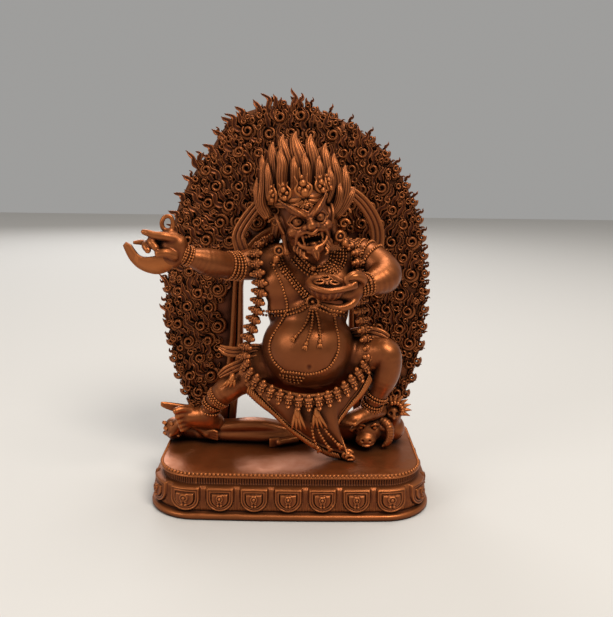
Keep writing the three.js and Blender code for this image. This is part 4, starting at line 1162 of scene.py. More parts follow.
def build_hair(material):
    """Upright flame-like hair in rows one behind the other, combed down at the back"""
    casting = Casting()
    for i, stations in enumerate(LOCKS):
        flame_lock(casting, stations, -1.4 - 0.5 * (i % 2), -4.6)
    for stations in FRONT_LOCKS:
        flame_lock(casting, stations, -5.0, -7.4)
    middle = np.array([4.2, 121.0])
    for i, stations in enumerate(LOCKS[1:-1]):
        rows = np.array(stations)
        rows[:, :2] = middle + (rows[:, :2] - middle) * (0.93, 0.94) + (0.9 * (-1) ** i, 0)
        flame_lock(casting, rows, 3.4, 2.0, 0.8, 8)
    for i in range(7):
        angle = np.radians(154 - 21 * i)
        out = np.array([np.cos(angle), np.sin(angle)])
        rows = [(*(middle + out * (r, r * 1.15)), w) for r, w in ((15, 0.2), (13, 1.7), (9, 2.6), (5, 2.6), (1, 2.0))]
        flame_lock(casting, rows, 6.6, 6.2, 0.8, 8)
    for x, lean in ((-5.4, -2.4), (-1.4, -1.2), (2.6, -0.4), (6.6, 0.4), (10.6, 1.2), (14.4, 2.4)):
        rows = [(x + lean, 104.0, 0.3), (x + lean * 0.7, 108, 1.9), (x + lean * 0.3, 113, 2.5), (x, 118, 2.7), (x * 0.8 + 1, 123, 2.2)]
        flame_lock(casting, rows, 5.6, 5.4, 0.8, 8)
    curl = [(17.2, 1, 119.4, 1.5), (19.8, 0.4, 121.6, 1.7), (22.4, 0.2, 124.6, 1.5), (24.2, 0.2, 128, 0.3)]
    casting.strand(curl, 12, 12, FRONT)
    make_piece("flame_hair", casting, material, "protector_figure")


def build_crown(material):
    """Crown of five jewelled plates over a leafy brow band, and the round earrings"""
    casting = Casting()

    def upright(rows):
        return on_head(rows)

    def beads(rows, radius):
        casting.beads(upright(rows), radius)

    band = [(10.3 * math.sin(a), -10.3 * math.cos(a) - 0.6, 9.2 - 1.4 * math.cos(a)) for a in np.radians(np.linspace(-105, 105, 44))]
    beads(band, 0.55)
    casting.strand([(*p[:2], p[2] - 0.9, 0.5) for p in upright(band)[::4]], 6, 40)
    for degrees, height in ((-72, 6.6), (-38, 7.4), (0, 11.5), (38, 7.4), (72, 6.6)):
        a = math.radians(degrees)
        out = np.array([math.sin(a), -math.cos(a)])
        side = np.array([math.cos(a), math.sin(a)])
        foot = out * 11.2

        def place(across, rise, depth=0.0):
            x, y = foot + side * across + out * depth
            return (x, y, 9.6 + rise)

        big = 1.25 if degrees == 0 else 1.0
        leaves = [
            [(0, 0.4), (1.8 * big, 1.6), (2.5 * big, 3.6), (1.4 * big, 5.6), (2.1 * big, 7.0 * big)],
            [(0, 0.4), (-1.8 * big, 1.6), (-2.5 * big, 3.6), (-1.4 * big, 5.6), (-2.1 * big, 7.0 * big)],
            [(0, 0.2), (0.5, 2.6), (-0.3, height * 0.72), (0, height)],
        ]
        for leaf in leaves:
            sizes = np.linspace(1.0, 0.12, len(leaf)) * 0.85 * big
            rows = upright([(*place(u, v), size) for (u, v), size in zip(leaf, sizes)])
            casting.strand(rows, 7, 14, FRONT, 0.8)
        jewels = [(0, 1.2, 1.0, 1.2), (-1.3, 2.9, 0.9, 0.75), (1.3, 2.9, 0.9, 0.75), (0, 4.3, 0.9, 1.15), (0, 6.2, 0.5, 0.7)]
        for across, rise, depth, radius in jewels:
            beads([place(across * big, rise * big, depth)], radius * big)
    beads([(0, -12.4, 11.6)], 1.6)
    for side in (-1, 1):
        for start, lift in ((1.0, 0.0), (1.6, 1.3)):
            leaf = [(side * start, -11.4, 8.4 + lift, 0.5), (side * 4.0, -10.6, 7.2 + lift * 1.4, 1.1), (side * 7.2, -8.2, 7.8 + lift * 1.6, 0.9),
                    (side * 9.4, -5.4, 9.8 + lift, 0.15)]
            rows = spline(upright(leaf), 16)
            casting.sweep(rows[:, :3], np.column_stack([rows[:, 3], rows[:, 3] * 0.5]), LEAF_SECTION, FRONT)
    rings = []
    for i, share in enumerate(np.linspace(0, 1, 9)):
        angle = math.radians(180 + 180 * share)
        rings.append((2.4 * math.cos(angle) * 1.5, -11.4 + 0.1 * i, 7.2 + 1.3 * math.sin(angle)))
    beads(rings, 0.38)
    ear_discs(casting)
    make_piece("crown_and_earrings", casting, material, "protector_figure")


LEAF_SECTION = np.array([(1, 0), (0.62, 0.42), (0.2, 0.55), (0, 1.0), (-0.2, 0.55), (-0.62, 0.42), (-1, 0), (-0.5, -0.6), (0.5, -0.6)])


def ear_discs(casting):
    """Disc earrings, each with a hanging drop, and the scroll of ribbon beside each ear"""
    for x, y, z, lean in ((-5.2, -11.6, 104.6, -20), (18.6, -12.4, 110.6, 35)):
        disc = Casting()
        profile = [(0.0, -1.0), (0.55, -0.95), (0.7, -0.4), (1.3, -0.35), (1.45, -0.9), (1.9, -0.95), (2.3, -0.5), (2.4, 0.3), (1.6, 0.7), (0.0, 0.8)]
        angle = np.arange(20) * 2 * np.pi / 20
        rings = [np.column_stack([max(r, 0.01) * np.cos(angle), np.full(20, h), max(r, 0.01) * np.sin(angle)]) for r, h in profile]
        disc.skin(rings)
        matrix = np.eye(4)
        matrix[:3, :3] = turned(x=10, z=lean * 0.4)
        matrix[:3, 3] = (x, y, z)
        casting.copy_in(disc, matrix)
        drop = np.radians(lean)
        way = np.array([math.sin(drop), 0, -math.cos(drop)])
        start = np.array([x, y + 0.4, z])
        drops = [(*(start + way * d), r) for d, r in ((2.2, 0.9), (3.4, 1.5), (4.8, 1.0), (5.6, 0.5))]
        casting.strand(drops, 10, 14, FRONT)
        casting.beads([start + way * 6.3, start + way * 2.3], (0.75, 0.8))
    for side, x, z in ((-1, -7.4, 119.2), (1, 20.6, 119)):
        for k in range(2):
            angle = np.linspace(0, 1.4 * 2 * np.pi, 24)
            reach = 2.5 - k * 0.3 - 0.25 * angle
            row = np.column_stack([x + side * reach * np.cos(angle), -3.4 - k + 0.06 * angle, z - k * 4.4 + reach * np.sin(angle)])
            radius = 0.72 - 0.05 * angle
            casting.sweep(row, np.column_stack([radius, radius]), circle(7), FRONT)


# Figure: scarf, garland, apron


def ribbon(casting, stations, width, thickness, grooves=3, tilt=None, up=FRONT):
    """Flat band with grooves along it through stations of [x, y, z, width share]"""
    rows = spline(stations, 12 * len(stations))
    across = np.linspace(-1, 1, 6 * grooves + 1)
    crest = 0.55 + 0.45 * np.abs(np.cos(across * np.pi * grooves / 2)) ** 0.6
    face = np.column_stack([across, crest])
    back = np.column_stack([across[::-1], np.full(len(across), -0.7)])
    section = np.vstack([face, back])
    width = rows[:, 3] * width / 2
    casting.sweep(rows[:, :3], np.column_stack([width, np.full(len(rows), thickness / 2)]), section, up)


SCARF_LEFT = [(-4, 6, 124, 0.7), (-12.6, 6.6, 122.6, 0.8), (-18.4, 6.4, 116.4, 0.95), (-22.4, 5.8, 109.4, 1), (-22, 5, 104.6, 1.05),
              (-19.4, 4.2, 99.4, 1), (-16, 3, 93.6, 0.9), (-9, 1, 86, 0.7)]
SCARF_RIGHT = [(12, 5, 126, 0.6), (20.6, 5.8, 128, 0.75), (28, 6.4, 123.4, 0.95), (33.6, 6.4, 115.4, 1), (35.2, 5.8, 108, 1.05),
               (33.4, 4.6, 102, 1), (29, 3, 95, 0.9), (22, 1, 91, 0.7)]


def build_scarf(material):
    """Scarf arching behind both shoulders, with its ends at the waist"""
    casting = Casting()
    for path in (SCARF_LEFT, SCARF_RIGHT):
        ribbon(casting, path, 5.6, 2.0)
    ends = [
        [(12, 0, 66, 0.5), (21, -2, 68.4, 0.8), (30.6, -6, 70.6, 1), (36, -7.6, 70, 1.1), (39.4, -8, 68.4, 0.8)],
        [(-8, 1, 60, 0.5), (-15, -1, 62, 0.8), (-22, -1.6, 60.4, 1), (-27, -1.4, 60.6, 1.0), (-30.4, -0.8, 62.2, 0.5)],
        [(-8, 0, 58, 0.5), (-15, -3, 58, 0.8), (-22, -3.6, 55.2, 1), (-27, -3.4, 52.6, 1.0), (-30.4, -2.8, 50.2, 0.5)],
    ]
    for path in ends:
        ribbon(casting, path, 4.4, 1.8, 3)
    make_piece("scarf", casting, material, "protector_figure")


GARLAND = [
    (-8, 3, 107), (-13.6, -5.4, 105.4), (-14, -8.6, 98), (-12.4, -8.6, 90.6), (-13.4, -7.4, 82.6), (-15.4, -6.4, 74),
    (-18, -6.4, 65), (-18.8, -7.6, 58.6), (-16.4, -10.4, 53), (-8.4, -15.4, 47.6), (3, -18, 44.4), (12, -18, 44.9),
    (20.4, -16, 48.4), (27.6, -12.4, 54.8), (31.4, -10.6, 62), (29.6, -8, 70), (27.4, -7, 80), (26.8, -7.6, 90),
    (26.4, -9, 98), (25, -6.4, 105), (18, 2, 108.6),
]


def garland_head():
    """One severed head of the garland: x along the strand, y to the back, z to the topknot"""
    clay = Clay((-2.4, -2.8, -3.9), (2.4, 2.2, 4.4), 0.21)
    clay.ball((0, 0, 0.2), (1.75, 1.7, 2.3))
    clay.ball((0, -0.5, -1.5), (1.2, 1.2, 1.3), blend=0.5)
    clay.ball((0, 0.2, 1.6), (1.9, 1.8, 1.3), blend=0.2)
    clay.limb([(0, 0, 2.4, 0.9), (0, -0.1, 3.2, 1.05), (0, 0, 4.0, 0.3)], blend=0.3)
    for side in (-1, 1):
        clay.ball((side * 0.72, -1.75, 0.25), (0.42, 0.5, 0.36), blend=0.15, cut=True)
        clay.limb([(side * 0.2, -1.8, 0.75, 0.22), (side * 0.8, -1.75, 0.95, 0.26), (side * 1.4, -1.2, 0.75, 0.2)], blend=0.1)
        clay.ball((side * 1.75, 0, -0.1), (0.4, 0.6, 0.9), blend=0.1)
        clay.ball((side * 1.0, -1.3, -0.6), (0.5, 0.5, 0.5), blend=0.3)
        clay.limb([(side * 1.2, -0.8, 1.5, 0.35), (side * 1.5, -0.5, 2.4, 0.25)], blend=0.15)
    clay.limb([(0, -1.75, 0.5, 0.25), (0, -2.2, -0.4, 0.42)], blend=0.15)
    clay.ball((0, -1.75, -1.35), (0.75, 0.5, 0.24), blend=0.12, cut=True)
    clay.limb([(-0.7, -1.45, -2.1, 0.3), (0, -1.75, -2.4, 0.45), (0.7, -1.45, -2.1, 0.3)], blend=0.15)
    clay.limb([(0, -1.0, -2.4, 0.6), (0, -0.8, -3.3, 0.35)], blend=0.3)
    return clay.casting()


def build_garland(material):
    """Garland of heads strung from the shoulders down both sides and under the belly"""
    casting = Casting()
    head = garland_head()
    count = 46
    fine = evenly(GARLAND, 6 * count + 1)
    casting.sweep(fine[::2], np.full(len(fine[::2]), 0.8), circle(6))
    middle = np.array([7.0, 4.0, 76.0])
    rng = np.random.default_rng(7)
    for i in range(count):
        k = 6 * i + 3
        at = fine[k]
        along = unit(fine[k + 2] - fine[k - 2])
        out = unit((at - middle) * (0.7, 1.3, 0.12) + (0, -3.0, 0))
        inward = unit(np.cross(along, out))
        if inward @ (middle - at) < 0:
            inward = -inward
        if at[2] < 60:
            inward = unit(inward + (0, 0, 0.9))
        out = unit(out - inward * (out @ inward))
        side = np.cross(-out, inward)
        matrix = np.eye(4)
        scale = 0.98 + rng.normal(0, 0.03)
        matrix[:3, :3] = np.column_stack([side, -out, inward]) * scale
        matrix[:3, 3] = at + out * 0.5 - inward * 0.6
        casting.copy_in(head, matrix)
    make_piece("garland_of_heads", casting, material, "protector_figure")


WAIST = [(-16, -3, 51), (-9, -11, 49), (1, -15.5, 47), (12, -16, 47), (23, -12, 50), (31, -5, 56)]
HEM = [
    (-19.4, -6, 47.6), (-13, -9.4, 41.6), (-6.6, -11, 36.2), (0.4, -12.2, 30), (7, -13, 25.2), (14.4, -13.4, 21.2),
    (20.4, -13.8, 19.2), (24, -14, 18.8), (21.6, -13.6, 25.4), (19, -12.6, 32), (23, -11.2, 38.4), (29, -10, 45.6), (33.6, -8.6, 54),
]


def apron_grid(columns=220, rows=60):
    """Points of the apron from the waist, row by row, to the hem"""
    top = spline(WAIST, columns)
    hem = spline(HEM, columns)
    share = np.linspace(0, 1, rows)[:, None, None]
    grid = top * (1 - share) + hem * share
    swell = np.sin(np.pi * share[..., 0]) * 1.4
    folds = 0.35 * np.sin(np.linspace(0, 1, columns) * np.pi * 11)[None] * share[..., 0]
    grid[..., 1] -= swell + folds
    length = np.linalg.norm(hem - top, axis=1)[None] * (1 - share[..., 0])
    ridge = 0.55 * bump(length - 3.1, 0.55) + 0.35 * bump(length - 2.0, 0.4)
    grid[..., 1] -= ridge
    return grid


def fringe(casting, edge, inner, count, length, radius):
    """Slanting strands of hair along an edge"""
    place = evenly(edge, count + 4)
    inside = evenly(inner, count + 4)
    for i in range(2, count + 2):
        base, root = place[i], inside[i]
        out = unit(base - root)
        along = unit(place[i + 1] - place[i - 1])
        way = unit(out + 0.75 * along)
        start = base - out * 1.9 + FRONT * 0.9
        middle = base + way * length * 0.35 + FRONT * 0.9
        tip = base + way * length + FRONT * 0.2
        if tip[2] < PLINTH_TOP + 0.3:
            tip[2] = PLINTH_TOP + 0.3
        stations = [(*start, radius * 0.7), (*middle, radius), (*tip, 0.12)]
        casting.strand(stations, 6, 7, FRONT, 0.9)


def paw(casting, x, y, z, drop, lean):
    """Hanging paw with four long claws"""
    for i in range(4):
        spread = (i - 1.5) * 0.36
        rows = [
            (x + spread * 1.2, y, z - 1.5, 0.6), (x + lean * 0.3 + spread * 3.0, y - 0.5, z - drop * 0.5, 0.72),
            (x + lean * 0.7 + spread * 4.6, y - 0.3, z - drop * 0.8, 0.5), (x + lean + spread * 5.4, y + 0.3, z - drop, 0.1),
        ]
        casting.strand(rows, 7, 14, FRONT)
    casting.strand([(x, y + 0.3, z + 1, 0.9), (x, y, z - 1.2, 1.35), (x + lean * 0.2, y, z - drop * 0.36, 1.3), (x + lean * 0.3, y, z - drop * 0.5, 0.5)], 10, 12, FRONT)


def hanging_beads(casting, rows, radius, tassel=True):
    """String of beads through points, with a tassel at its end"""
    length = curve_length(rows)
    path = evenly(rows, max(3, int(length / (radius * 1.95))))
    casting.beads(path, radius)
    casting.strand([(*p, radius * 0.4) for p in path[:: max(1, len(path) // 12)]], 5)
    if tassel:
        end = path[-1]
        way = unit(path[-1] - path[-3])
        casting.beads([end + way * radius * 1.2], radius * 1.5)
        for side in (-1, 0, 1):
            cross = np.array([way[2], 0, -way[0]]) * side
            casting.strand([(*(end + way * 1.4), 0.45), (*(end + way * 2.4 + cross * 0.7), 0.5), (*(end + way * 3.3 + cross * 1.0), 0.15)], 6, 6)


def build_apron(material):
    """Apron of hide with its fringe, hanging paws, bead strings and curled tip"""
    casting = Casting()
    grid = apron_grid()
    front, back = grid, grid + np.array([0, 1.5, 0])
    rows, columns = grid.shape[:2]
    points = np.vstack([front.reshape(-1, 3), back.reshape(-1, 3)])
    n = rows * columns
    face = loop_faces(rows, columns, False)
    border = np.concatenate([
        np.arange(columns), np.arange(1, rows) * columns + columns - 1,
        (rows - 1) * columns + np.arange(columns - 2, -1, -1), np.arange(rows - 2, 0, -1) * columns,
    ])
    after = np.roll(border, -1)
    sides = np.stack([border, border + n, after + n, after], axis=1)
    casting.add(points, np.vstack([face[:, ::-1], face + n, sides[:, ::-1]]))
    hem = grid[-1]
    inner = grid[-10]
    tip = int(np.argmin(hem[:, 2]))
    fringe(casting, hem[: tip - 4 : 4], inner[: tip - 4 : 4], 44, 3.0, 0.62)
    fringe(casting, hem[: tip + 3 : -4], inner[: tip + 3 : -4], 40, 2.8, 0.6)
    for k in range(3):
        angle = np.linspace(0, (1.6 - 0.2 * k) * 2 * np.pi, 30)
        reach = 2.3 - 0.22 * angle
        row = np.column_stack([
            23.4 + 0.4 * k + reach * np.cos(angle + 2.2 * k), -14.6 - 0.9 * k + 0.1 * angle, 20.9 - 0.7 * k + 0.72 * reach * np.sin(angle + 2.2 * k),
        ])
        row[:, 2] = np.maximum(row[:, 2], PLINTH_TOP + 0.9)
        casting.sweep(row, np.full(30, 0.75), circle(7), FRONT)
    casting.beads([(23.6, -14.4, 20.4)], 2.0)
    paw(casting, 2.6, -18.4, 41.4, 9.4, 0.8)
    paw(casting, 10.4, -18.6, 41.2, 8.4, 1.8)
    paw(casting, -24.5, -7.2, 51.6, 5.6, -2.4)
    for string in (
        [(8.6, -17.4, 34.8), (9.0, -17.6, 31), (9.8, -17.2, 27.4), (11, -16.6, 24.6)],
        [(10.8, -17.6, 35), (11.6, -17.8, 31.4), (13.4, -17.4, 28), (15.2, -16.8, 25)],
        [(12.8, -17.6, 35.4), (14.4, -17.8, 31.8), (16.8, -17.4, 28.8), (19.2, -16.8, 26)],
    ):
        hanging_beads(casting, string, 0.62)
    make_piece("apron", casting, material, "protector_figure")


# Figure: knife, skull cup, jewellery


def build_knife(material):
    """Crescent-shaped knife hanging from the fist"""
    outer = [(-64.2, 107.0), (-63.2, 104.4), (-61.7, 101.5), (-59.2, 98.8), (-56, 97), (-52, 96.1), (-48.6, 96.7), (-46, 98.4), (-44.4, 101)]
    inner = [(-63.0, 108.4), (-61.2, 107.2), (-59.8, 105.2), (-58.4, 103.5), (-56.4, 102.7), (-53.2, 102.9), (-50, 103.8), (-47.6, 104.4), (-45.8, 104.4)]
    outer, inner = spline(outer, 60), spline(inner, 60)
    depth = -22.9
    rings = []
    for i, (a, b) in enumerate(zip(outer, inner)):
        c = a + (b - a) * 0.78
        taper = min(1.0, 0.35 + i / 12)
        ring = [(a, 0.15), (c, 0.62), (b, 1.25), (b, -1.25), (c, -0.62), (a, -0.15)]
        rings.append([(p[0], depth - t * taper, p[1]) for p, t in ring])
    casting = Casting()
    casting.skin(rings)
    make_piece("crescent_knife", casting, material, "protector_figure")


def build_cup(material):
    """Skull cup held before the chest, brimming with scrolls"""
    clay = Clay((3, -34, 84), (31, -15, 101), 0.3)
    tilt = turned(x=20, y=4)
    centre = np.array((13.4, -24.6, 93.4))

    def local(rows):
        rows = np.atleast_2d(np.asarray(rows, float))
        return np.hstack([rows[:, :3] @ tilt.T + centre, rows[:, 3:]])

    clay.ball(centre, (7.6, 6.2, 6.6), tilt)
    cut = Clay((3, -34, 84), (31, -15, 101), 0.3)
    cut.ball(local((0, 0, 5.2))[0], (12, 12, 5.2), tilt)
    clay.field = np.maximum(clay.field, -cut.field)
    clay.ball(local((0, 0, 1.2))[0], (6.2, 4.8, 3.2), tilt, blend=0.4, cut=True)
    angle = np.linspace(0, 2 * np.pi, 41)
    rim = [(7.2 * math.cos(a), 5.9 * math.sin(a), 0.2 + 0.3 * math.cos(5 * a), 0.75) for a in angle]
    clay.limb(local(rim), blend=0.3, fine=2)
    for k, (x, y, size, way) in enumerate(((-2.6, -1.2, 3.0, 1), (2.4, -1.0, 2.8, -1), (-0.2, 2.2, 2.6, 1))):
        turns = np.linspace(0, 1.5 * 2 * np.pi, 26)
        reach = size * (1 - turns / (1.75 * 2 * np.pi))
        rows = [(x + way * r * math.cos(t), y + r * math.sin(t) * 0.8, 0.4 + 0.18 * t, 0.55) for t, r in zip(turns, reach)]
        clay.limb(local(rows), blend=0.15, fine=2)
    for a in np.radians(np.arange(200, 341, 20)):
        row = [(7.2 * math.cos(a), 6.0 * math.sin(a), -0.8, 0.45), (6.2 * math.cos(a), 5.2 * math.sin(a), -3.4, 0.5), (3.4 * math.cos(a), 3.0 * math.sin(a), -5.8, 0.35)]
        clay.limb(local(row), blend=0.4)
    thumb = [(26.6, -20.4, 93.6, 1.6), (26.6, -23.6, 96.4, 1.5), (23.4, -26, 97.4, 1.35), (20.6, -27, 95.4, 1.2), (22.0, -27, 93.4, 1.0), (24.2, -26.4, 94.2, 0.8)]
    clay.limb(thumb, blend=0.3, fine=6)
    clay.limb([(6.4, -25, 94, 1.1), (8, -28.6, 92.8, 1.1), (13, -31, 91.8, 1.1), (19, -29.4, 92.2, 1.1), (24, -26, 93, 1.2)], blend=0.5, fine=6)
    make_piece("skull_cup", clay.casting(), material, "protector_figure")


def bead_rows(casting, rows, radius, gap=0.45, offsets=(0.0,), pitch=1.9, plane=-12.0, clay="body"):
    """Rows of beads lying on the body where the viewer sees [x, z] in the upright plane"""
    rows = np.asarray(rows, float)
    length = curve_length(np.insert(rows, 1, plane, axis=1))
    count = max(3, int(length / (radius * pitch)))
    path = evenly(np.insert(rows, 1, plane, axis=1), count)[:, [0, 2]]
    along = unit(np.gradient(path, axis=0))
    side = np.column_stack([along[:, 1], -along[:, 0]])
    for offset in offsets:
        casting.beads(shaped(clay).sight(path + side * offset, plane, gap), radius)


def arm_bands(casting, stations, places, radius, bead, rows=3):
    """Rings of beads round a limb at places along it"""
    curve = spline(stations, 60)
    for place, count in places:
        k = int(place * 59)
        centre, along = curve[k, :3], unit(curve[min(k + 1, 59), :3] - curve[k - 1, :3])
        a = unit(np.cross(along, UP))
        b = np.cross(a, along)
        angle = np.arange(count) * 2 * np.pi / count
        size = curve[k, 3] + radius
        ring = centre + (np.cos(angle)[:, None] * a + np.sin(angle)[:, None] * b) * size
        casting.beads(ring, bead)


LEFT_ARM = [(-20, -3, 97.1, 6), (-24, -6, 97.2, 5.2), (-28.5, -9.6, 98.3, 5.5), (-33, -13, 99.7, 5.5), (-36.8, -16, 101.2, 4.4), (-39.8, -18, 102.5, 3.5), (-43.4, -19.6, 104.2, 3.6)]
RIGHT_ARM = [(25, 0, 101, 7), (31, -3, 100.8, 6.7), (36.4, -7.4, 96.6, 6.9), (36.6, -11.4, 94.4, 6.6), (33, -15.4, 93, 5.2), (29.2, -18, 92.3, 3.8), (25.4, -19.8, 91.4, 3.7)]
LEFT_SHIN = [(-27.4, 0.6, 43, 5.7), (-31.4, 1, 39.2, 4.6), (-34.2, 1.6, 36, 3.8), (-35.4, 3, 31, 4.0)]
RIGHT_SHIN = [(39, -7.8, 52.4, 5.4), (37.2, -6, 46.6, 4.7), (34.8, -4.4, 40.4, 4.0), (33.8, -2.4, 36.4, 4.2)]


def build_jewellery(material):
    """Necklaces, breast ornament, belly chain, armlets, bracelets and anklets"""
    casting = Casting()
    size = bpy.context.scene.figure_sizes.bead_radius / MM
    bead_rows(casting, [(-5.4, 101.6), (-3.5, 97.5), (-1, 94.5), (1.5, 91), (4, 88), (6.3, 85.6)], size * 1.15, 0.6, (-0.95, 0.95))
    bead_rows(casting, [(-5.4, 101.6), (-3.5, 97.5), (-1, 94.5), (1.5, 91), (4, 88), (6.3, 85.6)], size * 0.8, 1.1)
    bead_rows(casting, [(-8.4, 99.5), (-6, 95), (-4.2, 91), (-3, 87), (-2, 83), (-2.2, 80), (-3.5, 77), (-6.5, 72), (-8.4, 68.5), (-9, 65), (-8.6, 62.5), (-7, 59), (-5, 56.8), (-3.4, 55.4)], size)
    bead_rows(casting, [(-3.8, 55), (1, 54.6), (6, 53.9), (10, 54.4), (13, 55.4), (15.4, 57), (17.5, 60), (18.9, 63.5), (19.2, 67), (18.7, 71), (17.7, 75), (17.1, 79.5)], size)
    for row, radius in (([(-4.4, 53.6), (0, 53), (5, 52.4)], 1.0), ([(-3.2, 52.4), (0.4, 51.6), (4.2, 51.2)], 0.95), ([(-1.4, 51), (1, 50.4), (3, 50.3)], 0.9)):
        bead_rows(casting, row, size * radius)
    bead_rows(casting, [(6, 82.8), (3, 81), (0, 80), (-3, 79.3), (-8, 79), (-12.6, 79.4)], size, 0.5, (-0.8, 0.8))
    bead_rows(casting, [(10.8, 82.2), (14, 80.8), (17, 79.8), (22, 79)], size, 0.5, (-0.8, 0.8))
    for string in (
        [(7.4, 80.6), (6.4, 77), (5, 74), (3.3, 71.6), (2, 70.2)], [(8.4, 80.4), (8.3, 76), (7.6, 72), (6.6, 68.6), (6.2, 67.4)],
        [(9.6, 80.6), (10.6, 77), (11.3, 73), (11.6, 69.4), (11.5, 68.4)],
    ):
        rows = np.asarray(string)
        path = shaped("body").sight(spline(rows, 16), -12.0, 0.7)
        hanging_beads(casting, path, size * 0.98)
    ring = shaped("body").sight([(8.3, 84)], -12.0, 1.0)[0]
    turn = np.linspace(0, 2 * np.pi, 33)[:-1]
    hoop = [ring + np.array((2.3 * math.cos(a), 0, 2.3 * math.sin(a))) for a in turn]
    section = circle(8) * 0.55
    rings = [[p + np.array((math.cos(a), 0, math.sin(a))) * u + FRONT * v for u, v in section] for p, a in zip(hoop, turn)]
    rings = np.array(rings + rings[:1])
    quads = loop_faces(len(turn), 8)
    last = (len(turn) - 1) * 8
    k = np.arange(8)
    closing = np.stack([last + k, last + (k + 1) % 8, (k + 1) % 8, k], axis=1)
    casting.add(rings[:-1].reshape(-1, 3), np.vstack([quads, closing]))
    casting.beads([ring], 0.8)
    for rows in ([(0.4, 101.4), (3, 98.4), (6, 96), (9, 94.4)], [(1.6, 103), (5, 99.6), (9, 97.4), (12.6, 97.6)]):
        bead_rows(casting, rows, size, 0.5, (-0.7, 0.7))
    for rows in ([(20.6, 106), (20.6, 101), (18.4, 97), (15.4, 95.2)], [(18.4, 105), (18, 101), (16.4, 98), (13.6, 96.8)], [(16, 104), (15.4, 101), (13.4, 99)]):
        bead_rows(casting, rows, size * 0.95, 0.5, (-0.6, 0.6))
    for radius, (x, z) in ((1.3, (8.4, 97.6)), (1.0, (9.2, 95)), (0.8, (6.6, 98.8)), (0.8, (10.6, 98.4))):
        casting.beads(shaped("body").sight([(x, z)], -12.0, 1.0), radius)
    arm_bands(casting, LEFT_ARM, [(0.1, 30), (0.15, 30), (0.2, 30), (0.25, 30)], 0.2, 0.66)
    arm_bands(casting, LEFT_ARM, [(0.84, 22), (0.88, 22), (0.92, 22), (0.96, 22)], 0.2, 0.58)
    arm_bands(casting, RIGHT_ARM, [(0.06, 36), (0.11, 36), (0.16, 36), (0.21, 36)], 0.2, 0.66)
    arm_bands(casting, RIGHT_ARM, [(0.81, 24), (0.86, 22), (0.9, 22), (0.95, 22)], 0.2, 0.58)
    arm_bands(casting, LEFT_SHIN, [(0.3, 26), (0.37, 25), (0.44, 24), (0.62, 22), (0.69, 22), (0.86, 22)], 0.25, 0.6)
    arm_bands(casting, RIGHT_SHIN, [(0.5, 26), (0.57, 25), (0.72, 24), (0.8, 24), (0.88, 24)], 0.25, 0.6)
    make_piece("bead_jewellery", casting, material, "protector_figure")


# Figure: trampled beings


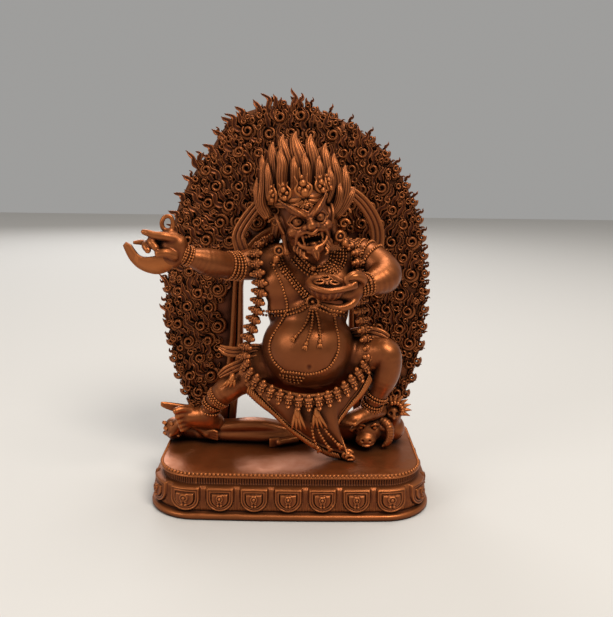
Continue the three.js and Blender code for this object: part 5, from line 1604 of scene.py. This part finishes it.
def build_trampled(material):
    """Man lying under the left foot and bull crouching under the right foot"""
    clay = Clay((-60, -8, 17), (56, 16, 42), 0.42)
    clay.limb([(-50, 10, 22.4, 4.6), (-40, 9, 22, 4.6), (-28, 8, 22.2, 5), (-16, 7.6, 22.8, 5.4), (-6, 7, 22.2, 5), (6, 6, 22, 4)], blend=1)
    clay.ball((-51.2, 6.2, 23.4), (4.6, 4.6, 5), blend=0.8)
    clay.limb([(-50, 2.6, 23.4, 1.4), (-52, 1.6, 22, 0.9)], blend=0.5)
    clay.limb([(-51, 4, 24, 3), (-47.4, 3.4, 27.2, 2.6), (-43, 3.6, 26.4, 2), (-38.6, 3.4, 24, 1.9), (-36.6, 2.8, 22.4, 1.9)], blend=0.6)
    for i in range(4):
        z = 24.2 - 1.1 * i
        clay.limb([(-37, 2.4, z * 0.6 + 9, 0.9), (-34, 1.6, z, 0.8), (-32, 1.4, z - 0.6, 0.6)], blend=0.3)
    clay.limb([(-40, 5.8, 21.4, 2.4), (-28, 4.4, 21.2, 2.6), (-12, 3.4, 21.2, 2.6), (0, 3, 21, 2.3)], blend=0.8)
    clay.limb([(-30, 5, 24.6, 2.4), (-22, 4.4, 25.6, 2.6), (-12, 4.4, 25.8, 2.6), (-4, 4.8, 24, 2.4)], blend=0.8)
    clay.limb([(2, 2, 20.6, 1.7), (-2.6, 0, 20.4, 1.5), (-5, -0.8, 20.2, 1.7)], blend=0.6)
    for i in range(4):
        spread = 0.95 * (i - 1.5)
        clay.limb([(-5.4, -0.9, 20.3 + spread, 0.75), (-8.8, -1.5, 20.1 + spread * 1.1, 0.62)], blend=0.3)
    for i in range(4):
        clay.limb([(-44, 4, 31 + 0.8 * i, 1.5), (-49, 2.4, 33 + 0.7 * i, 1.05), (-53, 1.4, 34.4 + 0.6 * i, 0.8), (-55.4, 0.8, 35.6 + 0.4 * i, 0.6)], blend=0.4)
    clay.limb([(-42, 6, 26, 2.4), (-43.6, 4.6, 30.6, 2.4), (-46, 3.4, 33, 1.8)], blend=0.6)
    clay.limb([(22, 9, 23.6, 6.2), (34, 7.4, 25.2, 6.6), (44, 7.4, 24.4, 6)], blend=1)
    clay.ball((33.2, 0.8, 26), (6, 5.2, 6.2), blend=1.5)
    clay.ball((32, -3.2, 22.8), (4.4, 3.4, 3.2), blend=1.2)
    for side in (-1, 1):
        clay.ball((32.6 + side * 3, -3.6, 28.4), (1.5, 1.3, 1.3), blend=0.3, cut=True)
        clay.ball((32.6 + side * 3, -3.4, 28.4), (1.1, 1.1, 1.0))
        clay.limb([(32.6 + side * 1.2, -4.6, 29.4, 0.5), (32.6 + side * 3, -4.8, 30.2, 0.7), (32.6 + side * 5, -3, 29.2, 0.5)], blend=0.3)
        clay.ball((32 + side * 1.6, -6.4, 23.2), (0.7, 0.8, 0.6), blend=0.2, cut=True)
        clay.limb([(33 + side * 5.4, -0.6, 27.4, 1.3), (33.4 + side * 7.4, -1.6, 26.4, 0.9)], blend=0.5)
    clay.limb([(29, -5.2, 21.6, 0.45), (32, -6.6, 20.9, 0.5), (35, -5.4, 21.6, 0.45)], blend=0.2)
    horn = [(38, 1, 30.4, 2.0), (41.4, -1, 28.8, 1.9), (42.4, -2.4, 25.2, 1.7), (41.6, -3, 21.8, 1.4), (39.4, -3.2, 19.8, 0.7)]
    clay.limb(horn, blend=0.4, fine=5)
    rings = spline(horn, 16)[1:-1]
    for a, b in zip(rings[:-1], rings[1:]):
        way = unit(b[:3] - a[:3])
        side = unit(np.cross(way, UP))
        lift = np.cross(side, way)
        turn = np.column_stack([side, way, lift])
        clay.hoop(a[:3], a[3] * 0.98, 0.28, turn, blend=0.15)
    clay.limb([(44, 5, 27, 3), (44.4, 4, 31, 3.4)], blend=1)
    clay.ball((44.2, 3.4, 33), (3.8, 4, 4.2), blend=0.6)
    for x, z in ((42.6, 33.4), (45.6, 33.2)):
        clay.ball((x, 0, z), (1, 1, 0.9), blend=0.2, cut=True)
    clay.ball((44, -0.2, 31.4), (0.8, 0.8, 0.7), blend=0.3)
    clay.trim_below(SEAT)
    clay.trim_behind(BACK_LIMIT)
    make_piece("trampled_beings", clay.casting(), material, "protector_figure")

    casting = Casting()
    for i in range(7):
        angle = math.radians(-25 + i * 23)
        out = np.array([math.cos(angle), -0.25, math.sin(angle)])
        base = np.array([44.2, 1.6, 35.0])
        rows = [(*(base + out * 2.4), 0.95), (*(base + out * 3.9), 1.15), (*(base + out * 5.2 + (0.3, 0, 0.3)), 0.8), (*(base + out * 6.6 + (0.9, 0, 0.2)), 0.12)]
        casting.strand(rows, 8, 10, FRONT)
        casting.beads([base + out * 3.4 + FRONT * 1.4], 0.95)
    hair = [(-54.4, 4.2, 26), (-53.6, 2.6, 24), (-54.2, 4, 21.4), (-51, 2, 26.4), (-48.4, 2.6, 21)]
    for x, y, z in hair:
        casting.strand([(x, y, z, 0.9), (x - 1.2, y + 0.6, z + 0.6, 0.8), (x - 2.0, y + 1.6, z - 0.4, 0.2)], 7, 8, FRONT)
    make_piece("trampled_ornaments", casting, material, "protector_figure")


# Stage


def build_stage():
    """Pale floor, soft studio lights, pale surroundings and the camera"""
    scene = bpy.context.scene
    look = scene.stage_look
    mesh = bpy.data.meshes.new("floor")
    reach = 1.6
    mesh.from_pydata([(-reach, -reach, 0), (reach, -reach, 0), (reach, reach, 0), (-reach, reach, 0)], [], [(0, 1, 2, 3)])
    floor = bpy.data.objects.new("floor", mesh)
    scene.collection.objects.link(floor)
    paper = bpy.data.materials.new("pale_paper")
    paper.use_nodes = True
    shader = paper.node_tree.nodes["Principled BSDF"]
    shader.inputs["Base Color"].default_value = (*look.floor_colour, 1)
    shader.inputs["Roughness"].default_value = 0.9
    mesh.materials.append(paper)

    centre = Vector((0.0, 0.0, 0.08))
    lights = [
        ("key_light", (0.4, -0.6, 0.95), 0.5, look.key_power, (1.0, 0.94, 0.86)),
        ("fill_light", (-0.8, -0.6, 0.5), 0.5, look.key_power * 0.3, (1.0, 0.96, 0.92)),
        ("top_light", (0.1, 0.25, 1.1), 0.6, look.key_power * 0.5, (1.0, 0.97, 0.94)),
        ("back_light", (-0.3, 1.0, 0.6), 0.6, look.key_power * 0.4, (0.97, 0.98, 1.0)),
    ]
    for name, place, size, power, colour in lights:
        data = bpy.data.lights.new(name, "AREA")
        data.shape = "DISK"
        data.size = size
        data.energy = power
        data.color = colour
        light = bpy.data.objects.new(name, data)
        light.location = place
        light.rotation_euler = (centre - Vector(place)).to_track_quat("-Z", "Y").to_euler()
        scene.collection.objects.link(light)
    world = bpy.data.worlds.new("pale_room")
    world.use_nodes = True
    sky = world.node_tree.nodes["Background"]
    sky.inputs["Color"].default_value = (0.86, 0.85, 0.83, 1)
    sky.inputs["Strength"].default_value = look.room_light
    scene.world = world
    scene.view_settings.view_transform = "Standard"

    data = bpy.data.cameras.new("camera")
    data.sensor_width = 36.0
    data.lens = look.lens
    camera = bpy.data.objects.new("camera", data)
    camera.location = look.camera_place
    pitch, yaw, roll = math.radians(90 - 11.2), math.radians(-0.42), math.radians(0.77)
    turn = Matrix.Rotation(yaw, 4, "Z") @ Matrix.Rotation(pitch, 4, "X") @ Matrix.Rotation(roll, 4, "Z")
    camera.rotation_euler = turn.to_euler()
    scene.collection.objects.link(camera)
    scene.camera = camera


# Settings, operators and panel


class PlinthSizes(bpy.types.PropertyGroup):
    """Sizes of the lotus plinth"""

    width: bpy.props.FloatProperty(
        name="Top width", description="Width of the plinth's top edge", default=0.1056, unit="LENGTH")
    depth: bpy.props.FloatProperty(
        name="Top depth", description="Depth of the plinth's top edge", default=0.0566, unit="LENGTH")
    petal_count: bpy.props.IntProperty(
        name="Petals", description="Lotus petals round the whole plinth", default=23)
    bead_radius: bpy.props.FloatProperty(
        name="Bead radius", description="Radius of the beads along the top edge", default=0.00078, unit="LENGTH")


class HaloSizes(bpy.types.PropertyGroup):
    """Sizes of the flame halo"""

    flame_pitch: bpy.props.FloatProperty(
        name="Flame pitch", description="Distance between neighbouring flames", default=0.0088, unit="LENGTH")
    rim_tips: bpy.props.IntProperty(
        name="Rim tips", description="Flame tips along the rim", default=44)
    seed: bpy.props.IntProperty(
        name="Seed", description="Number that the small unevenness of the flames starts from", default=4)


class FigureSizes(bpy.types.PropertyGroup):
    """Fineness and small sizes of the figure"""

    body_grain: bpy.props.FloatProperty(
        name="Body grain", description="Size of the smallest step in the body's surface", default=0.0005, unit="LENGTH")
    head_grain: bpy.props.FloatProperty(
        name="Head grain", description="Size of the smallest step in the head's surface", default=0.0003, unit="LENGTH")
    bead_radius: bpy.props.FloatProperty(
        name="Bead radius", description="Radius of the beads on the necklaces", default=0.0006, unit="LENGTH")


class BronzeFinishAndPaintedLight(bpy.types.PropertyGroup):
    """Colours and gloss of the patinated bronze, whose colours also carry painted shade and a painted highlight"""

    # Colour of the dark patina in the recesses, also used as painted shade where neighbouring surfaces close in
    patina_and_shade_colour: bpy.props.FloatVectorProperty(
        name="Recess colour", description="Dark patina left in the recesses", default=(0.012, 0.0036, 0.002),
        subtype="COLOR")
    body_colour: bpy.props.FloatVectorProperty(
        name="Body colour", description="Brown of the smooth surfaces", default=(0.105, 0.026, 0.008),
        subtype="COLOR")
    # Orange of raised edges rubbed bright, also used as a painted highlight on surfaces that face up
    wear_and_highlight_colour: bpy.props.FloatVectorProperty(
        name="Worn colour", description="Orange of the surfaces that are rubbed bright", default=(0.5, 0.155, 0.04),
        subtype="COLOR")
    metallic: bpy.props.FloatProperty(
        name="Metallic", description="How much the surface reflects as metal", default=0.8, subtype="FACTOR")
    roughness: bpy.props.FloatProperty(
        name="Roughness", description="Roughness of the open surfaces", default=0.36, subtype="FACTOR")
    # Reach of the patina and the painted shade from a neighbouring surface
    patina_and_shade_reach: bpy.props.FloatProperty(
        name="Recess reach", description="How far from a neighbouring surface the patina darkens", default=0.006,
        unit="LENGTH")


class StageLook(bpy.types.PropertyGroup):
    """Floor, light and camera"""

    floor_colour: bpy.props.FloatVectorProperty(
        name="Floor colour", description="Colour of the plain floor", default=(0.62, 0.6, 0.57), subtype="COLOR")
    key_power: bpy.props.FloatProperty(
        name="Key light power", description="Power of the main light", default=9, unit="POWER")
    room_light: bpy.props.FloatProperty(
        name="Room light", description="Strength of the light from all round", default=0.4)
    lens: bpy.props.FloatProperty(
        name="Lens", description="Focal length", default=43.76, unit="CAMERA")
    camera_place: bpy.props.FloatVectorProperty(
        name="Camera place", description="Where the camera stands", default=(0.0037, -0.307, 0.1397),
        subtype="TRANSLATION")


class STATUETTE_OT_plinth(bpy.types.Operator):
    """Makes the lotus plinth with its beads"""

    bl_idname = "statuette.plinth"
    bl_label = "Lotus plinth"

    def execute(self, context):
        build_plinth(finishes()["plinth"])
        return {"FINISHED"}


class STATUETTE_OT_halo_plate(bpy.types.Operator):
    """Makes the plate of the halo with its stepped band"""

    bl_idname = "statuette.halo_plate"
    bl_label = "Halo plate"

    def execute(self, context):
        build_halo_plate(finishes()["halo"])
        return {"FINISHED"}


class STATUETTE_OT_halo_flames(bpy.types.Operator):
    """Makes the curled flames on the front of the halo"""

    bl_idname = "statuette.halo_flames"
    bl_label = "Halo flames"

    def execute(self, context):
        build_halo_flames(finishes()["halo"])
        return {"FINISHED"}


class STATUETTE_OT_halo_rim(bpy.types.Operator):
    """Makes the flames along the rim of the halo"""

    bl_idname = "statuette.halo_rim"
    bl_label = "Halo rim"

    def execute(self, context):
        build_halo_rim(finishes()["halo"])
        return {"FINISHED"}


class STATUETTE_OT_body(bpy.types.Operator):
    """Makes the body and the head of the figure"""

    bl_idname = "statuette.body"
    bl_label = "Body and head"

    def execute(self, context):
        build_body(finishes()["figure"])
        return {"FINISHED"}


class STATUETTE_OT_hair(bpy.types.Operator):
    """Makes the upright flame-like hair"""

    bl_idname = "statuette.hair"
    bl_label = "Hair"

    def execute(self, context):
        build_hair(finishes()["figure"])
        return {"FINISHED"}


class STATUETTE_OT_crown(bpy.types.Operator):
    """Makes the crown and the earrings"""

    bl_idname = "statuette.crown"
    bl_label = "Crown and earrings"

    def execute(self, context):
        build_crown(finishes()["figure"])
        return {"FINISHED"}


class STATUETTE_OT_scarf(bpy.types.Operator):
    """Makes the scarf behind the shoulders"""

    bl_idname = "statuette.scarf"
    bl_label = "Scarf"

    def execute(self, context):
        build_scarf(finishes()["figure"])
        return {"FINISHED"}


class STATUETTE_OT_garland(bpy.types.Operator):
    """Makes the garland of heads"""

    bl_idname = "statuette.garland"
    bl_label = "Garland of heads"

    def execute(self, context):
        build_garland(finishes()["figure"])
        return {"FINISHED"}


class STATUETTE_OT_apron(bpy.types.Operator):
    """Makes the fringed apron of hide"""

    bl_idname = "statuette.apron"
    bl_label = "Apron"

    def execute(self, context):
        build_apron(finishes()["figure"])
        return {"FINISHED"}


class STATUETTE_OT_knife(bpy.types.Operator):
    """Makes the crescent knife"""

    bl_idname = "statuette.knife"
    bl_label = "Crescent knife"

    def execute(self, context):
        build_knife(finishes()["figure"])
        return {"FINISHED"}


class STATUETTE_OT_cup(bpy.types.Operator):
    """Makes the skull cup"""

    bl_idname = "statuette.cup"
    bl_label = "Skull cup"

    def execute(self, context):
        build_cup(finishes()["figure"])
        return {"FINISHED"}


class STATUETTE_OT_jewellery(bpy.types.Operator):
    """Makes the necklaces, chains and bracelets of beads"""

    bl_idname = "statuette.jewellery"
    bl_label = "Bead jewellery"

    def execute(self, context):
        build_jewellery(finishes()["figure"])
        return {"FINISHED"}


class STATUETTE_OT_trampled(bpy.types.Operator):
    """Makes the man and the bull under the feet"""

    bl_idname = "statuette.trampled"
    bl_label = "Trampled beings"

    def execute(self, context):
        build_trampled(finishes()["figure"])
        return {"FINISHED"}


class STATUETTE_OT_stage(bpy.types.Operator):
    """Sets the floor, the lights and the camera"""

    bl_idname = "statuette.stage"
    bl_label = "Stage"

    def execute(self, context):
        build_stage()
        return {"FINISHED"}


class STATUETTE_PT_panel(bpy.types.Panel):
    """Lists the steps that make the statuette, with their settings"""

    bl_idname = "STATUETTE_PT_panel"
    bl_label = "Statuette"
    bl_space_type = "VIEW_3D"
    bl_region_type = "UI"
    bl_category = "Statuette"

    def draw(self, context):
        for group in SETTINGS:
            box = self.layout.box()
            values = getattr(context.scene, group)
            for name in values.__annotations__:
                box.prop(values, name)
        for step in STEPS:
            self.layout.operator(step.bl_idname)


SETTINGS = {
    "plinth_sizes": PlinthSizes,
    "halo_sizes": HaloSizes,
    "figure_sizes": FigureSizes,
    "bronze_finish": BronzeFinishAndPaintedLight,
    "stage_look": StageLook,
}
STEPS = [
    STATUETTE_OT_stage,
    STATUETTE_OT_plinth,
    STATUETTE_OT_halo_plate,
    STATUETTE_OT_halo_flames,
    STATUETTE_OT_halo_rim,
    STATUETTE_OT_body,
    STATUETTE_OT_hair,
    STATUETTE_OT_crown,
    STATUETTE_OT_scarf,
    STATUETTE_OT_garland,
    STATUETTE_OT_apron,
    STATUETTE_OT_knife,
    STATUETTE_OT_cup,
    STATUETTE_OT_jewellery,
    STATUETTE_OT_trampled,
]
CLASSES = [*SETTINGS.values(), *STEPS, STATUETTE_PT_panel]


def register():
    """Registers the classes and hangs the settings on the scene"""
    for made in CLASSES:
        bpy.utils.register_class(made)
    for name, group in SETTINGS.items():
        setattr(bpy.types.Scene, name, bpy.props.PointerProperty(type=group))


def unregister():
    """Takes the settings and the classes away again"""
    for name in SETTINGS:
        delattr(bpy.types.Scene, name)
    for made in reversed(CLASSES):
        bpy.utils.unregister_class(made)


def main():
    """Makes the whole statuette"""
    register()
    for step in STEPS:
        group, name = step.bl_idname.split(".")
        getattr(getattr(bpy.ops, group), name)()


if __name__ == "__main__":
    main()
